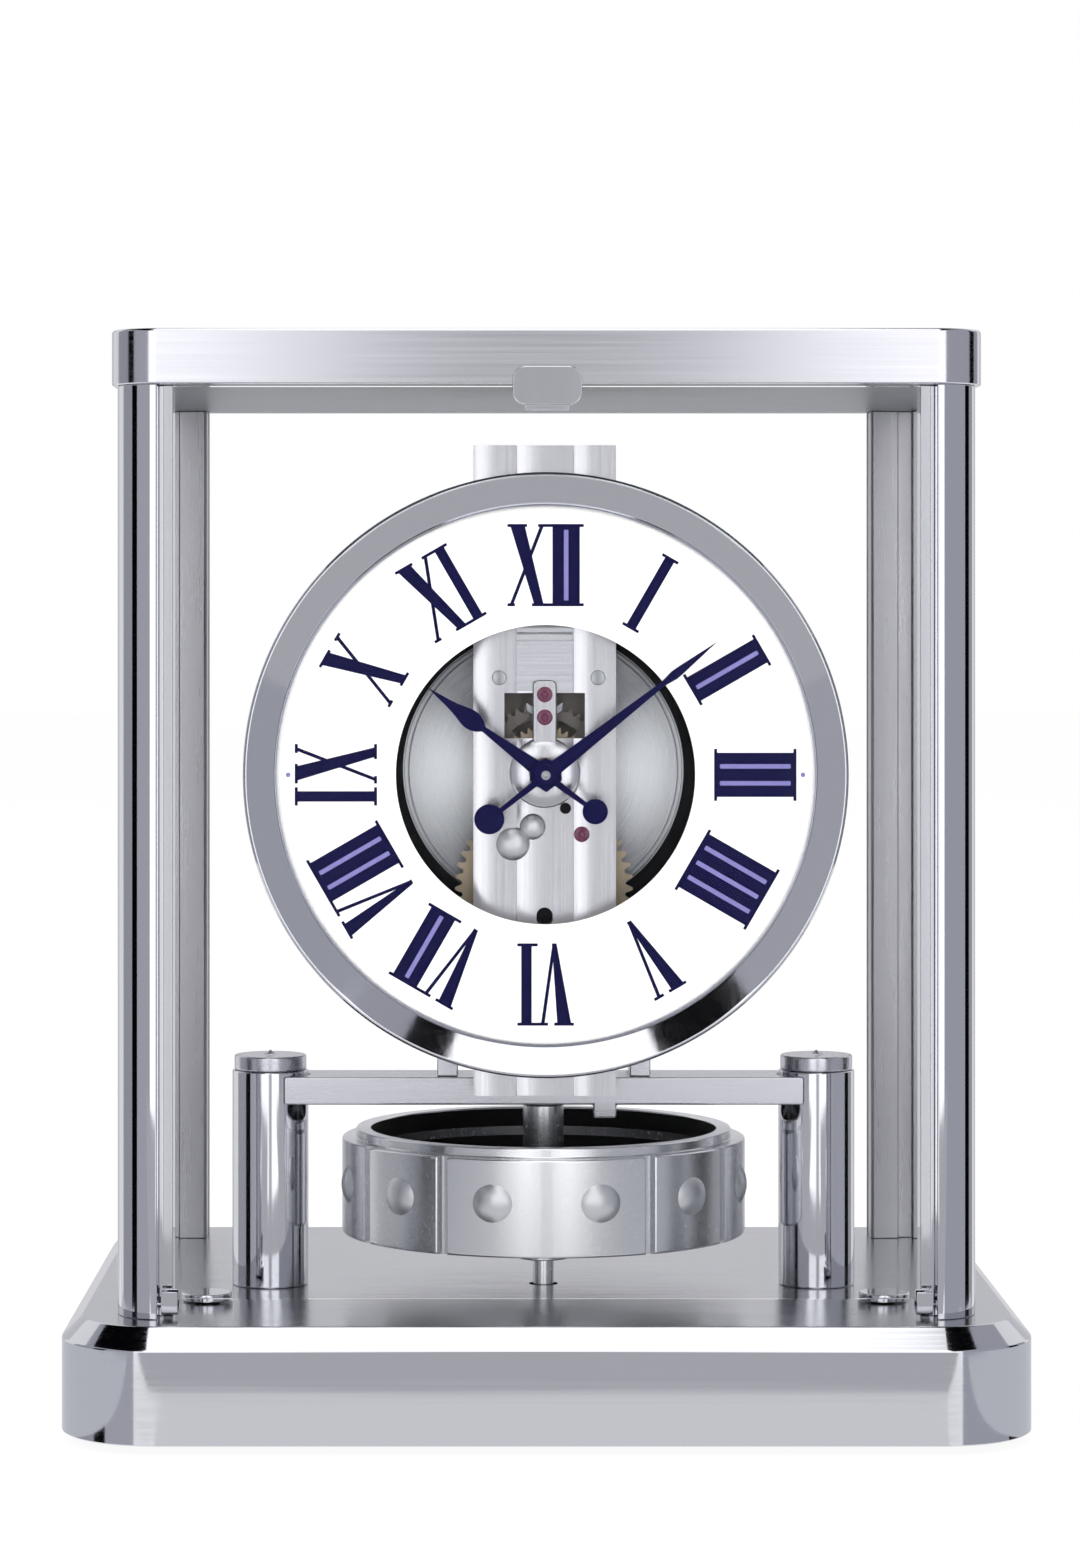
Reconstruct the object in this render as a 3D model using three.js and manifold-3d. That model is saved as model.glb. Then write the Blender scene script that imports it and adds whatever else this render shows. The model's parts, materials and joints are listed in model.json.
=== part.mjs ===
// Atmospheric clock: a glazed case on a plinth, a round dial, and a balance hung on a torsion wire.
// Millimetres, +Z up, the dial faces -Y. The origin is on the table, under the middle of the plinth.
import * as THREE from 'three';
import { mergeVertices } from 'three/addons/utils/BufferGeometryUtils.js';
import Module from 'manifold-3d';

const wasm = await Module();
wasm.setup();

// Clearances
const fit = 0.3; // between a piece and what it seats in, turns in or slides in
const glassFit = 0.2; // between a pane and its groove
const pivotFit = 0.3; // between a pivot and its bore, all round

// Sides of the faceted rounds
const broadSides = 40; // dial and bezel
const balanceSides = 36;
const drumSides = 24;
const rodSides = 18; // pillars, screws, feet
const pinSides = 12; // pins, bores and arbors
const weightSides = 8; // balance weights and their seats

// Plinth and feet
const footLift = 2; // underside of the plinth above the table
const plinthWidth = 203.8;
const plinthDepth = 153.8;
const plinthFace = 19.6; // height of the upright face
const plinthBevel = 4.3; // 45 degree bevel above it
const plinthCorner = 20;
const plinthWall = 3;
const coverSheet = 1.5;
const rearFootInset = 16.9; // from the plinth's rear edge
const footRadius = 7;
const levelInsetX = 29.5; // levelling screws, from the plinth's sides
const levelInsetY = 34.9; // and from its front
const levelHeadRadius = 5.4;
const levelHeadHeight = 2;
const levelShankRadius = 2.5;

// Case: four posts, a cap, three fixed panes
const caseHeight = 195.1; // from the plinth's top to the cap's underside
const caseInset = 11.6; // from the plinth's edges to the posts' outer faces
const postSize = 12;
const postChamfer = 0.6; // the inner edges
const paneThickness = 3;
const paneInset = 2.3; // from a post's outer face to the pane's
const paneBite = 1.5; // how far a pane enters a post
const capOverhang = 1.2; // past the posts' outer faces
const capHeight = 11.6;
const capEdge = 0.8;
const capWall = 3;
const linerSheet = 2;

// Door: the front pane, which tilts forward on two clips
const doorInset = 2.1; // from the posts' front faces to the middle of the pane and the pivots
const doorPivotRise = 3; // pivots above the plinth's top
const doorRebate = 3; // width of the step in a front post that takes the pane's edge
const doorRebateDepth = 4.8; // from the post's front face
const doorSideGap = 0.8;
const doorTopGap = 0.4;
const clipRadius = 2.3;
const clipLength = 3.5;
const clipHeight = 2.8; // above the pivot line
const doorPinRadius = 0.8;
const doorPinLength = 2.6;
const catchWidth = 14.5;
const catchPlate = 1.8;
const catchRise = 3.5; // above the cap's underside
const catchDrop = 4.5;
const catchLobe = 2.6;

// Stand: two pillars and the bridge bar between them
const pillarX = 60;
const pillarRadius = 8.35;
const pillarProud = 1; // the pillars rise this far through the bar
const pillarCapHeight = 3.3;
const pillarCapRadius = 7.9;
const pillarPeak = 1;
const barWidth = 16;
const barHeight = 6;
const barUnderside = 40.1; // above the plinth's top
const barBore = 2;
const lugX = 13.3;
const lugWidth = 5;
const lugDrop = 2.9;
const lugDepth = 4;

// Dial
const dialDrop = 82.2; // middle of the dial below the cap's underside
const dialStandoff = 12.6; // its front ahead of the front plate's
const dialSheet = 1.2;
const dialRadius = 57.6;
const dialHole = 31.9;
const dialFootRadius = 2.5;
const dialFootX = 10;
const dialFootZ = 44;
const bezelWidth = 6.8; // past the dial's edge
const bezelLip = 0.5; // how far the bezel laps over the dial
const bezelRise = 3; // its crown in front of the dial
const bezelDepth = 3.2; // its skirt behind the dial's front

// Movement plates
const plateSheet = 2.5;
const plateHalf = 15.4;
const plateMiddleHalf = 6.2;
const plateStep = 0.8; // the middle band lies this much deeper
const plateLap = 3; // its lower end below the bar's top
const plateHeadroom = 11.5; // its upper end below the cap
const windowHalf = 8.7;
const windowLow = -5; // above the dial's middle
const windowHigh = 17.2;
const trainDepth = 10.9; // between the two plates
const trainSheet = 1.2;
const trainTop = 35.2; // above the dial's middle
const wireGap = 2.9; // from the train plate's back to the wire
const trainPillarRadius = 1.8;
const trainPillarX = 12.2;
const trainPillarHigh = 31.7;
const trainPillarLow = 14; // above the bar
const movementFootHeight = 2.4;
const setHole = -31.5; // a plain hole at the dial's lower rim
const setHoleRadius = 1.8;
const cockSheet = 1.6;
const cockRadius = 8.2;
const cockStemHalf = 2.6;
const cockReach = 20; // end of the cock's stem above the dial's middle

// Arbors and wheels, each wheel's layer counted back from the front plate
const arborRadius = 1;
const fineArborRadius = 0.6;
const hourPipeRadius = 2.6;
const barrelArborRadius = 1.5;
const barrelDrop = 25; // barrel below the dial's middle
const minuteDrop = 12; // minute wheel below it
const escapeRise = 17.2; // escape wheel above it
const palletRise = 12.2;
const escapeLayer = 0.5;
const hourLayer = 2.1;
const minuteLayer = 3.7;
const centreLayer = 5.5;
const barrelLayer = 7.3;
const wheelSheet = 1;
const barrelSheet = 1.4;
const barrelDrumRadius = 14;
const barrelDrumDepth = 1.7;
const barrelTeeth = 45;
const centrePinionTeeth = 15;
const centreTeeth = 45;
const escapePinionTeeth = 9;
const cannonTeeth = 10;
const minuteTeeth = 30;
const minutePinionTeeth = 9;
const hourTeeth = 36;
const pressureAngle = THREE.MathUtils.degToRad(25);
const addendum = 0.8; // in modules
const dedendum = 1.05;
const toothThinning = 0.14;
const escapeTeeth = 12;
const escapeTip = 3.4;
const escapeRoot = 2.3;
const palletClearance = 0.35;

// Hands
const hourHandGap = 1.6; // its front ahead of the dial's
const minuteHandGap = 1.4; // its front ahead of the hour hand's
const handSheet = 0.8;
const minuteAngle = 52.1; // degrees clockwise from twelve, as photographed
const hourAngle = -53.5;
const minuteReach = 46.3;
const minuteTail = 15.2;
const minuteDisc = 3.2;
const minuteHeadFrom = 37.2;
const minuteHeadHalf = 1.5;
const hourReach = 31.4;
const hourTail = 13.1;
const hourDisc = 2.7;
const spadeAt = 20.4;
const spadeHalf = 2.5;
const handRootHalf = 1.3;
const handWaistHalf = 0.5;
const collarHalf = 2.5; // half the square boss of a hand

// Bellows drum
const drumRadius = 48;
const drumGap = 1.9; // from the wire to the drum's face
const drumDepth = 40; // behind the shoulder
const drumWall = 2;
const drumStep = 7.6; // the face stands this far ahead of the shoulder
const drumFaceRadius = 33;
const drumFaceWall = 3;
const drumGroove = 29.6;
const drumGrooveWidth = 1;
const drumGrooveDepth = 1.2;
const drumFootX = 21.05;
const drumFootWidth = 4.5;
const drumFootFront = 6; // ahead of the bar's middle
const drumFootBack = 19.5; // behind it
const drumFootRise = 18; // height of the foot's front part
const bellowsRadius = 40;
const bellowsRootRadius = 33;
const bellowsFolds = 4;
const bellowsLength = 21.7;
const pressurePlateSheet = 2;
const pressurePlateRadius = 38;

// Suspension
const wireRadius = 0.4;
const wireHead = 1.5;
const wireHeadHeight = 2.2;
const bracketHalf = 6;
const bracketHeight = 7;
const bracketDrop = 3.5; // its top below the plate's top
const bracketReach = 4.5; // behind the wire

// Balance
const balanceRadius = 44.2;
const balanceWall = 6.3; // through a pad
const balanceRimSetback = 3.1; // of the rim above, from the pads' outside
const balanceLip = 2.4;
const balanceLipSheet = 2;
const ringGap = 0.8; // between the weights and the door
const balanceLow = 11.9; // its underside above the plinth's top
const padHeight = 20.7;
const rimHeight = 2; // thin rim above the pads
const padCount = 12;
const padGroove = 2.2;
const padsPerQuarter = 3; // a groove parts all pads but those that meet at a quarter
const padGrooveDepth = 1.6;
const padFlat = 7; // degrees each side of a weight where a pad is flat
const weightRise = 11.4; // weights' middle above the ring's underside
const weightRadius = 4.3;
const weightHead = 1.9;
const weightSide = 0.5;
const weightSeat = 1; // depth of a weight's seat
const weightShank = 2;
const weightShankLength = 4;
const staffRadius = 2.3;
const staffEnd = -1.7; // below the plinth's top
const staffBore = 3.2;
const collarRadius = 5.6;
const collarRise = 5.7;
const collarSheet = 1.4;
const hubRadius = 4.5;
const spiderSheet = 2.5;
const spiderArms = 4;
const spiderArmHalf = 5;

// Balance lock, under the plinth's top
const lockStemRadius = 2;
const lockCupRadius = 2.8;
const lockCupHeight = 3;
const lockTravel = 1.2;
const leverHeight = 2.5;
const leverLow = 9;
const leverRing = 6;
const leverHalf = 3;
const leverTipInset = 0.5; // from the rear wall's outer face to the lever's tip
const leverSwing = 20; // degrees

// Heights and places that follow from the sizes above, measured from the plinth's underside
const plinthTop = plinthFace + plinthBevel;
const capBottom = plinthTop + caseHeight;
const dialZ = capBottom - dialDrop;
const barBottom = plinthTop + barUnderside;
const barTop = barBottom + barHeight;
const plateBottomZ = barTop - plateLap;
const plateTopZ = capBottom - plateHeadroom;
const balanceZ = plinthTop + balanceLow;
const balanceInner = balanceRadius - balanceWall;
const balanceRimRadius = balanceRadius - balanceRimSetback;
const levelX = plinthWidth / 2 - levelInsetX;
const levelY = levelInsetY - plinthDepth / 2;
const postSpanX = plinthWidth - 2 * caseInset;
const postSpanY = plinthDepth - 2 * caseInset;
const capWidth = postSpanX + 2 * capOverhang;
const capDepth = postSpanY + 2 * capOverhang;
const postRound = postSize - doorRebate; // the outer corner
const capCorner = postRound + capOverhang;
const postX = (postSpanX - postSize) / 2;
const postY = (postSpanY - postSize) / 2;
const bezelRadius = dialRadius + bezelWidth;
const doorY = doorInset - postSpanY / 2;
const doorPivotZ = plinthTop + doorPivotRise;
const doorPaneBottom = doorPivotZ + 1.2;
const doorHalf = postSpanX / 2 - postSize + doorRebate - doorSideGap;
const weightCrown = weightHead + fit - weightSeat; // a weight's rise beyond its pad
const standY = doorY + paneThickness / 2 + ringGap + weightCrown + balanceRadius; // pillars, bar, wire, balance
const trainBackY = standY - wireGap - trainSheet;
const plateBackY = trainBackY - trainDepth;
const plateFrontY = plateBackY - plateSheet;
const dialFrontY = plateFrontY - dialStandoff;
const hourHandY = dialFrontY - hourHandGap;
const minuteHandY = hourHandY - minuteHandGap;
const drumFaceY = standY + drumGap;
const drumShoulderY = drumFaceY + drumStep;
const drumBackY = drumShoulderY + drumDepth;
const leverReach = plinthDepth / 2 - standY - leverTipInset;
const barrelModule = (2 * barrelDrop) / (barrelTeeth + centrePinionTeeth);
const escapeModule = (2 * escapeRise) / (centreTeeth + escapePinionTeeth);
const cannonModule = (2 * minuteDrop) / (cannonTeeth + minuteTeeth);
const hourModule = (2 * minuteDrop) / (minutePinionTeeth + hourTeeth);

const finishes = {
  plated: { color: 0xc4c6cc, metalness: 1, roughness: 0.18 },
  satin: { color: 0xb4b6bd, metalness: 1, roughness: 0.38 },
  brass: { color: 0xc9a552, metalness: 1, roughness: 0.3 },
  steel: { color: 0x9a9ca2, metalness: 1, roughness: 0.3 },
  blued: { color: 0x15143f, metalness: 0.3, roughness: 0.4 },
  dial: { color: 0xf2f2f0, metalness: 0, roughness: 0.6 },
  glass: { color: 0xe6f0ee, metalness: 0, roughness: 0.05 },
  rubber: { color: 0x222222, metalness: 0, roughness: 0.8 },
};

const clock = new THREE.Group();
clock.position.z = footLift;

// Adds one named piece to the clock.
function addPiece(name, geometry, finish, place = [0, 0, 0]) {
  const settings = finishes[finish];
  const material = new THREE.MeshStandardMaterial(settings);
  if (finish === 'glass') {
    material.transparent = true;
    material.opacity = 0.25;
  }
  const mesh = new THREE.Mesh(geometry, material);
  mesh.name = name;
  mesh.position.set(...place);
  clock.add(mesh);
  return mesh;
}

// A closed geometry as a solid that can be cut and joined.
function toSolid(geometry) {
  const plain = geometry.clone();
  for (const name of Object.keys(plain.attributes)) {
    if (name !== 'position') plain.deleteAttribute(name);
  }
  const merged = mergeVertices(plain, 1e-4);
  const corners = merged.index.array;
  const kept = [];
  for (let i = 0; i < corners.length; i += 3) {
    const [a, b, c] = [corners[i], corners[i + 1], corners[i + 2]];
    if (a !== b && b !== c && c !== a) kept.push(a, b, c);
  }
  return new wasm.Manifold(new wasm.Mesh({
    numProp: 3,
    vertProperties: new Float32Array(merged.attributes.position.array),
    triVerts: new Uint32Array(kept),
  }));
}

function toGeometry(solid) {
  const mesh = solid.getMesh();
  const geometry = new THREE.BufferGeometry();
  geometry.setAttribute('position', new THREE.BufferAttribute(mesh.vertProperties, 3));
  geometry.setIndex(new THREE.BufferAttribute(mesh.triVerts, 1));
  geometry.computeVertexNormals();
  return geometry;
}

// Cuts a list of geometries from a geometry, after joining another list to it.
function shaped(geometry, { joins = [], cuts = [] }) {
  let solid = toSolid(geometry);
  for (const piece of joins) solid = solid.add(toSolid(piece));
  for (const piece of cuts) solid = solid.subtract(toSolid(piece));
  return toGeometry(solid);
}

function shapeOf(points, holes = []) {
  const shape = new THREE.Shape(points.map(([x, y]) => new THREE.Vector2(x, y)));
  shape.holes = holes.map((hole) => new THREE.Path(hole.map(([x, y]) => new THREE.Vector2(x, y))));
  return shape;
}

// An outline in plan, drawn upward from z.
function upright(points, z, height, holes) {
  const geometry = new THREE.ExtrudeGeometry(shapeOf(points, holes), { depth: height, bevelEnabled: false });
  return geometry.translate(0, 0, z);
}

// An outline seen from the front, drawn from its front face back.
function facing(points, frontY, depth, holes) {
  const geometry = new THREE.ExtrudeGeometry(shapeOf(points, holes), { depth, bevelEnabled: false });
  return geometry.rotateX(Math.PI / 2).translate(0, frontY + depth, 0);
}

// An outline seen from the right, across and up, drawn along X from x.
function sideways(points, x, width) {
  const geometry = new THREE.ExtrudeGeometry(shapeOf(points), { depth: width, bevelEnabled: false });
  return geometry.rotateX(Math.PI / 2).rotateZ(Math.PI / 2).translate(x, 0, 0);
}

// A profile of [radius, height] turned about Z, or of [radius, y] turned about Y.
function turnedUpright(profile, sides) {
  return turnedFacing(profile, sides).rotateX(Math.PI / 2);
}

function turnedFacing(profile, sides) {
  const points = profile.map(([radius, along]) => new THREE.Vector2(radius, along));
  return new THREE.LatheGeometry(points, sides);
}

function ringProfile(inner, outer, from, to) {
  return [[inner, from], [outer, from], [outer, to], [inner, to], [inner, from]];
}

function rodProfile(radius, from, to) {
  return [[0, from], [radius, from], [radius, to], [0, to]];
}

function box(x0, x1, y0, y1, z0, z1) {
  const geometry = new THREE.BoxGeometry(x1 - x0, y1 - y0, z1 - z0);
  return geometry.translate((x0 + x1) / 2, (y0 + y1) / 2, (z0 + z1) / 2);
}

function arc(cx, cy, radius, from, to, steps) {
  const points = [];
  for (let i = 0; i <= steps; i += 1) {
    const angle = THREE.MathUtils.degToRad(from + ((to - from) * i) / steps);
    points.push([cx + radius * Math.cos(angle), cy + radius * Math.sin(angle)]);
  }
  return points;
}

function circle(cx, cy, radius, steps) {
  return arc(cx, cy, radius, 0, 360, steps).slice(0, -1);
}

function roundedRectangle(width, depth, radius, steps) {
  const x = width / 2 - radius;
  const y = depth / 2 - radius;
  return [
    ...arc(x, -y, radius, -90, 0, steps),
    ...arc(x, y, radius, 0, 90, steps),
    ...arc(-x, y, radius, 90, 180, steps),
    ...arc(-x, -y, radius, 180, 270, steps),
  ];
}

// A closed body through plan outlines of equal count, each at its own height, in order.
function stacked(levels) {
  const positions = [];
  for (const { outline, z } of levels) {
    for (const [x, y] of outline) positions.push(x, y, z);
  }
  const count = levels[0].outline.length;
  const faces = [];
  for (let level = 0; level < levels.length - 1; level += 1) {
    for (let j = 0; j < count; j += 1) {
      const a = level * count + j;
      const b = level * count + ((j + 1) % count);
      faces.push(a, b, b + count, a, b + count, a + count);
    }
  }
  const last = (levels.length - 1) * count;
  for (let j = 1; j < count - 1; j += 1) {
    faces.push(0, j + 1, j, last, last + j, last + j + 1);
  }
  const geometry = new THREE.BufferGeometry();
  geometry.setAttribute('position', new THREE.Float32BufferAttribute(positions, 3));
  geometry.setIndex(faces);
  geometry.computeVertexNormals();
  return geometry;
}

function plinthOutline(inset) {
  return roundedRectangle(plinthWidth - 2 * inset, plinthDepth - 2 * inset, plinthCorner - inset, 6);
}

function makePlinth() {
  const shell = stacked([
    { outline: plinthOutline(plinthBevel + plinthWall), z: plinthTop - plinthWall },
    { outline: plinthOutline(plinthWall), z: plinthFace - plinthWall },
    { outline: plinthOutline(plinthWall), z: 0 },
    { outline: plinthOutline(0), z: 0 },
    { outline: plinthOutline(0), z: plinthFace },
    { outline: plinthOutline(plinthBevel), z: plinthTop },
  ]);
  const cuts = [-levelX, levelX].map((x) => {
    const bore = turnedUpright(rodProfile(levelShankRadius + fit, plinthFace, plinthTop + 1), pinSides);
    return bore.translate(x, levelY, 0);
  });
  const staffHole = rodProfile(staffBore, plinthFace - plinthWall, plinthTop + 1);
  cuts.push(turnedUpright(staffHole, pinSides).translate(0, standY, 0));
  const sweep = leverReach * Math.sin(THREE.MathUtils.degToRad(leverSwing));
  const rear = plinthDepth / 2;
  const low = leverLow - fit;
  const high = leverLow + leverHeight + fit;
  cuts.push(box(-sweep - leverHalf - 1, leverHalf + 1, rear - plinthWall - 1, rear + 1, low, high));
  addPiece('base_plinth', shaped(shell, { cuts }), 'plated');
}

function makeBottomCover() {
  const holes = [-levelX, levelX].map((x) => circle(x, levelY, levelShankRadius + fit, pinSides));
  addPiece('bottom_cover', upright(plinthOutline(plinthWall + fit), 0, coverSheet, holes), 'satin');
  const foot = turnedUpright([[0, -footLift], [footRadius - 0.5, -footLift], [footRadius, -footLift + 0.5],
    [footRadius, 0], [0, 0]], rodSides);
  addPiece('rear_foot', foot, 'rubber', [0, plinthDepth / 2 - rearFootInset, 0]);
}

// A levelling screw in one piece: pad under the plinth, shank through it, head on top.
function makeLevelScrews() {
  const headLow = plinthTop + fit;
  const headTop = headLow + levelHeadHeight;
  const profile = [[0, -footLift], [footRadius, -footLift], [footRadius, -fit], [levelShankRadius, -fit],
    [levelShankRadius, headLow], [levelHeadRadius, headLow], [levelHeadRadius, headTop - 0.4],
    [levelHeadRadius - 0.4, headTop], [0, headTop]];
  for (const [side, x] of [['left', -levelX], ['right', levelX]]) {
    addPiece(`level_screw_${side}`, turnedUpright(profile, pinSides), 'plated', [x, levelY, 0]);
  }
}

function makeLock() {
  const top = plinthTop - plinthWall - fit;
  const stemLow = coverSheet + fit;
  const collarLow = leverLow + leverHeight + fit;
  addPiece('lock_cup', turnedUpright([[0, stemLow], [lockStemRadius, stemLow], [lockStemRadius, collarLow],
    [leverRing - 2, collarLow], [leverRing - 2, collarLow + 2], [lockStemRadius, collarLow + 2],
    [lockStemRadius, top - lockCupHeight], [lockCupRadius, top - lockCupHeight], [lockCupRadius, top],
    [0, top]], pinSides), 'steel', [0, standY, 0]);
  const tip = leverReach;
  const opening = THREE.MathUtils.radToDeg(Math.asin(leverHalf / leverRing));
  const outline = [...arc(0, 0, leverRing, 90 + opening, 450 - opening, pinSides), [leverHalf, tip - 1],
    [leverHalf - 1, tip], [1 - leverHalf, tip], [-leverHalf, tip - 1]];
  const bore = circle(0, 0, lockStemRadius + pivotFit, pinSides);
  addPiece('lock_lever', upright(outline, leverLow, leverHeight, [bore]), 'steel', [0, standY, 0]);
}

// Section of a post whose outer corner points to +X +Y, with its corner at [x, y].
// A groove in the face towards -Y takes a side pane. The face towards -X has a groove for the rear pane on a
// rear post, and a step for the front pane's edge on a front post.
function postOutline(isRear) {
  const half = postSize / 2;
  const round = arc(half - postRound, half - postRound, postRound, 0, 90, 5);
  const slotHigh = half - paneInset + glassFit;
  const slotLow = slotHigh - paneThickness - 2 * glassFit;
  const depth = paneBite + fit;
  const sideSlot = [[slotLow, -half], [slotLow, -half + depth], [slotHigh, -half + depth], [slotHigh, -half]];
  const rearSide = [[-half + postChamfer, half], [-half, half - postChamfer], [-half, slotHigh],
    [-half + depth, slotHigh], [-half + depth, slotLow], [-half, slotLow]];
  const frontSide = [[-half + doorRebate, half - doorRebateDepth], [-half, half - doorRebateDepth]];
  return [
    ...round,
    ...(isRear ? rearSide : frontSide),
    [-half, -half + postChamfer],
    [-half + postChamfer, -half],
    ...sideSlot,
    [half, -half],
  ];
}

function makePosts() {
  for (const [end, signY] of [['front', -1], ['rear', 1]]) {
    for (const [side, signX] of [['left', -1], ['right', 1]]) {
      let outline = postOutline(end === 'rear').map(([x, y]) => [signX * (postX + x), signY * (postY + y)]);
      if (signX * signY < 0) outline = outline.reverse();
      let post = upright(outline, plinthTop, caseHeight);
      if (end === 'front') {
        const bore = turnedFacing(rodProfile(doorPinRadius + pivotFit, -doorPinLength - 0.8, 1), pinSides);
        bore.rotateZ(signX > 0 ? Math.PI / 2 : -Math.PI / 2);
        bore.translate(signX * (postX - postSize / 2 + doorRebate), doorY, doorPivotZ);
        post = shaped(post, { cuts: [bore] });
      }
      addPiece(`post_${end}_${side}`, post, 'plated');
    }
  }
}

function makeCap() {
  const outline = (inset) => roundedRectangle(capWidth - 2 * inset, capDepth - 2 * inset, capCorner - inset, 5);
  const ceiling = capHeight - capWall;
  const shell = stacked([
    { outline: outline(capWall), z: ceiling },
    { outline: outline(capWall), z: 0 },
    { outline: outline(capEdge / 2), z: 0 },
    { outline: outline(0), z: capEdge / 2 },
    { outline: outline(0), z: capHeight - capEdge },
    { outline: outline(capEdge), z: capHeight },
  ]);
  addPiece('top_cap', shell, 'satin', [0, 0, capBottom]);
  addPiece('cap_liner', upright(outline(capWall + fit), 0, linerSheet), 'satin', [0, 0, capBottom]);
}

function makePanes() {
  const low = plinthTop + glassFit;
  const high = capBottom - glassFit;
  const outer = postSpanX / 2 - paneInset;
  const reachY = postSpanY / 2 - postSize + paneBite;
  const sidePane = box(outer - paneThickness, outer, -reachY, reachY, low, high);
  addPiece('glass_right', sidePane, 'glass');
  addPiece('glass_left', sidePane.clone().translate(paneThickness - 2 * outer, 0, 0), 'glass');
  const back = postSpanY / 2 - paneInset;
  const reachX = postSpanX / 2 - postSize + paneBite;
  addPiece('glass_rear', box(-reachX, reachX, back - paneThickness, back, low, high), 'glass');
}

function makeDoor() {
  const paneTop = capBottom - doorTopGap;
  const halfPane = paneThickness / 2;
  addPiece('front_glass', box(-doorHalf + fit, doorHalf - fit, doorY - halfPane, doorY + halfPane,
    doorPaneBottom, paneTop), 'glass');

  const halfSlot = halfPane + glassFit;
  const slotFloor = doorPaneBottom - glassFit;
  const clipTop = doorPivotZ + clipHeight;
  const section = [
    ...arc(doorY, doorPivotZ, clipRadius, 180, 360, 10),
    [doorY + clipRadius, clipTop], [doorY + halfSlot, clipTop], [doorY + halfSlot, slotFloor],
    [doorY - halfSlot, slotFloor], [doorY - halfSlot, clipTop], [doorY - clipRadius, clipTop],
  ];
  for (const [side, sign] of [['left', -1], ['right', 1]]) {
    const start = sign > 0 ? doorHalf - clipLength : -doorHalf;
    const pin = turnedFacing(rodProfile(doorPinRadius, -1, doorPinLength), pinSides);
    pin.rotateZ(sign > 0 ? -Math.PI / 2 : Math.PI / 2).translate(sign * doorHalf, doorY, doorPivotZ);
    const clip = shaped(sideways(section, start, clipLength), { joins: [pin] });
    addPiece(`door_clip_${side}`, clip, 'plated');
  }

  // The catch: a thumb plate in front of the cap's edge, on a foot that grips the pane's front.
  const capFront = -capDepth / 2;
  const plateBack = capFront - fit;
  const plateFront = plateBack - catchPlate;
  const lobeX = catchWidth / 2 - catchLobe;
  const low = capBottom - catchDrop + catchLobe;
  const high = capBottom + catchRise - catchLobe;
  const plate = [
    ...arc(lobeX, low, catchLobe, -90, 0, 4),
    ...arc(lobeX, high, catchLobe, 0, 90, 4),
    ...arc(-lobeX, high, catchLobe, 90, 180, 4),
    ...arc(-lobeX, low, catchLobe, 180, 270, 4),
  ];
  const foot = box(-lobeX, lobeX, plateBack - 0.5, doorY - halfPane, capBottom - catchDrop - 1,
    capBottom - doorTopGap);
  addPiece('door_catch', shaped(facing(plate, plateFront, catchPlate), { joins: [foot] }), 'plated');
}

function makeStand() {
  const shaftTop = barTop + pillarProud;
  const capTop = shaftTop + pillarCapHeight;
  const shaft = [[0, plinthTop], [pillarRadius - 0.4, plinthTop], [pillarRadius, plinthTop + 0.4],
    [pillarRadius, shaftTop - 0.6], [pillarRadius - 0.6, shaftTop], [0, shaftTop]];
  const cap = [[0, shaftTop], [pillarCapRadius - 0.6, shaftTop], [pillarCapRadius, shaftTop + 0.6],
    [pillarCapRadius, capTop - 0.6], [pillarCapRadius - 0.6, capTop], [1.6, capTop], [0, capTop + pillarPeak]];
  for (const [side, x] of [['left', -pillarX], ['right', pillarX]]) {
    addPiece(`pillar_${side}`, turnedUpright(shaft, rodSides), 'plated', [x, standY, 0]);
    addPiece(`pillar_cap_${side}`, turnedUpright(cap, rodSides), 'satin', [x, standY, 0]);
  }
  const half = barWidth / 2;
  const lugY = standY - half;
  const bar = box(-pillarX, pillarX, standY - half, standY + half, barBottom, barTop);
  const lug = box(lugX - lugWidth / 2, lugX + lugWidth / 2, lugY, lugY + lugDepth, barBottom - lugDrop, barTop - 1);
  const seat = (x) => turnedUpright(rodProfile(pillarRadius + fit, barBottom - 1, barTop + 1), rodSides)
    .translate(x, standY, 0);
  const bore = turnedUpright(rodProfile(barBore, barBottom - 1, barTop + 1), pinSides).translate(0, standY, 0);
  addPiece('bridge_bar', shaped(bar, { joins: [lug], cuts: [seat(-pillarX), seat(pillarX), bore] }), 'plated');
}

function drill(x, z, radius, sides) {
  return turnedFacing(rodProfile(radius, plateFrontY - 1, plateBackY + 1), sides).translate(x, 0, dialZ + z);
}

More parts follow.
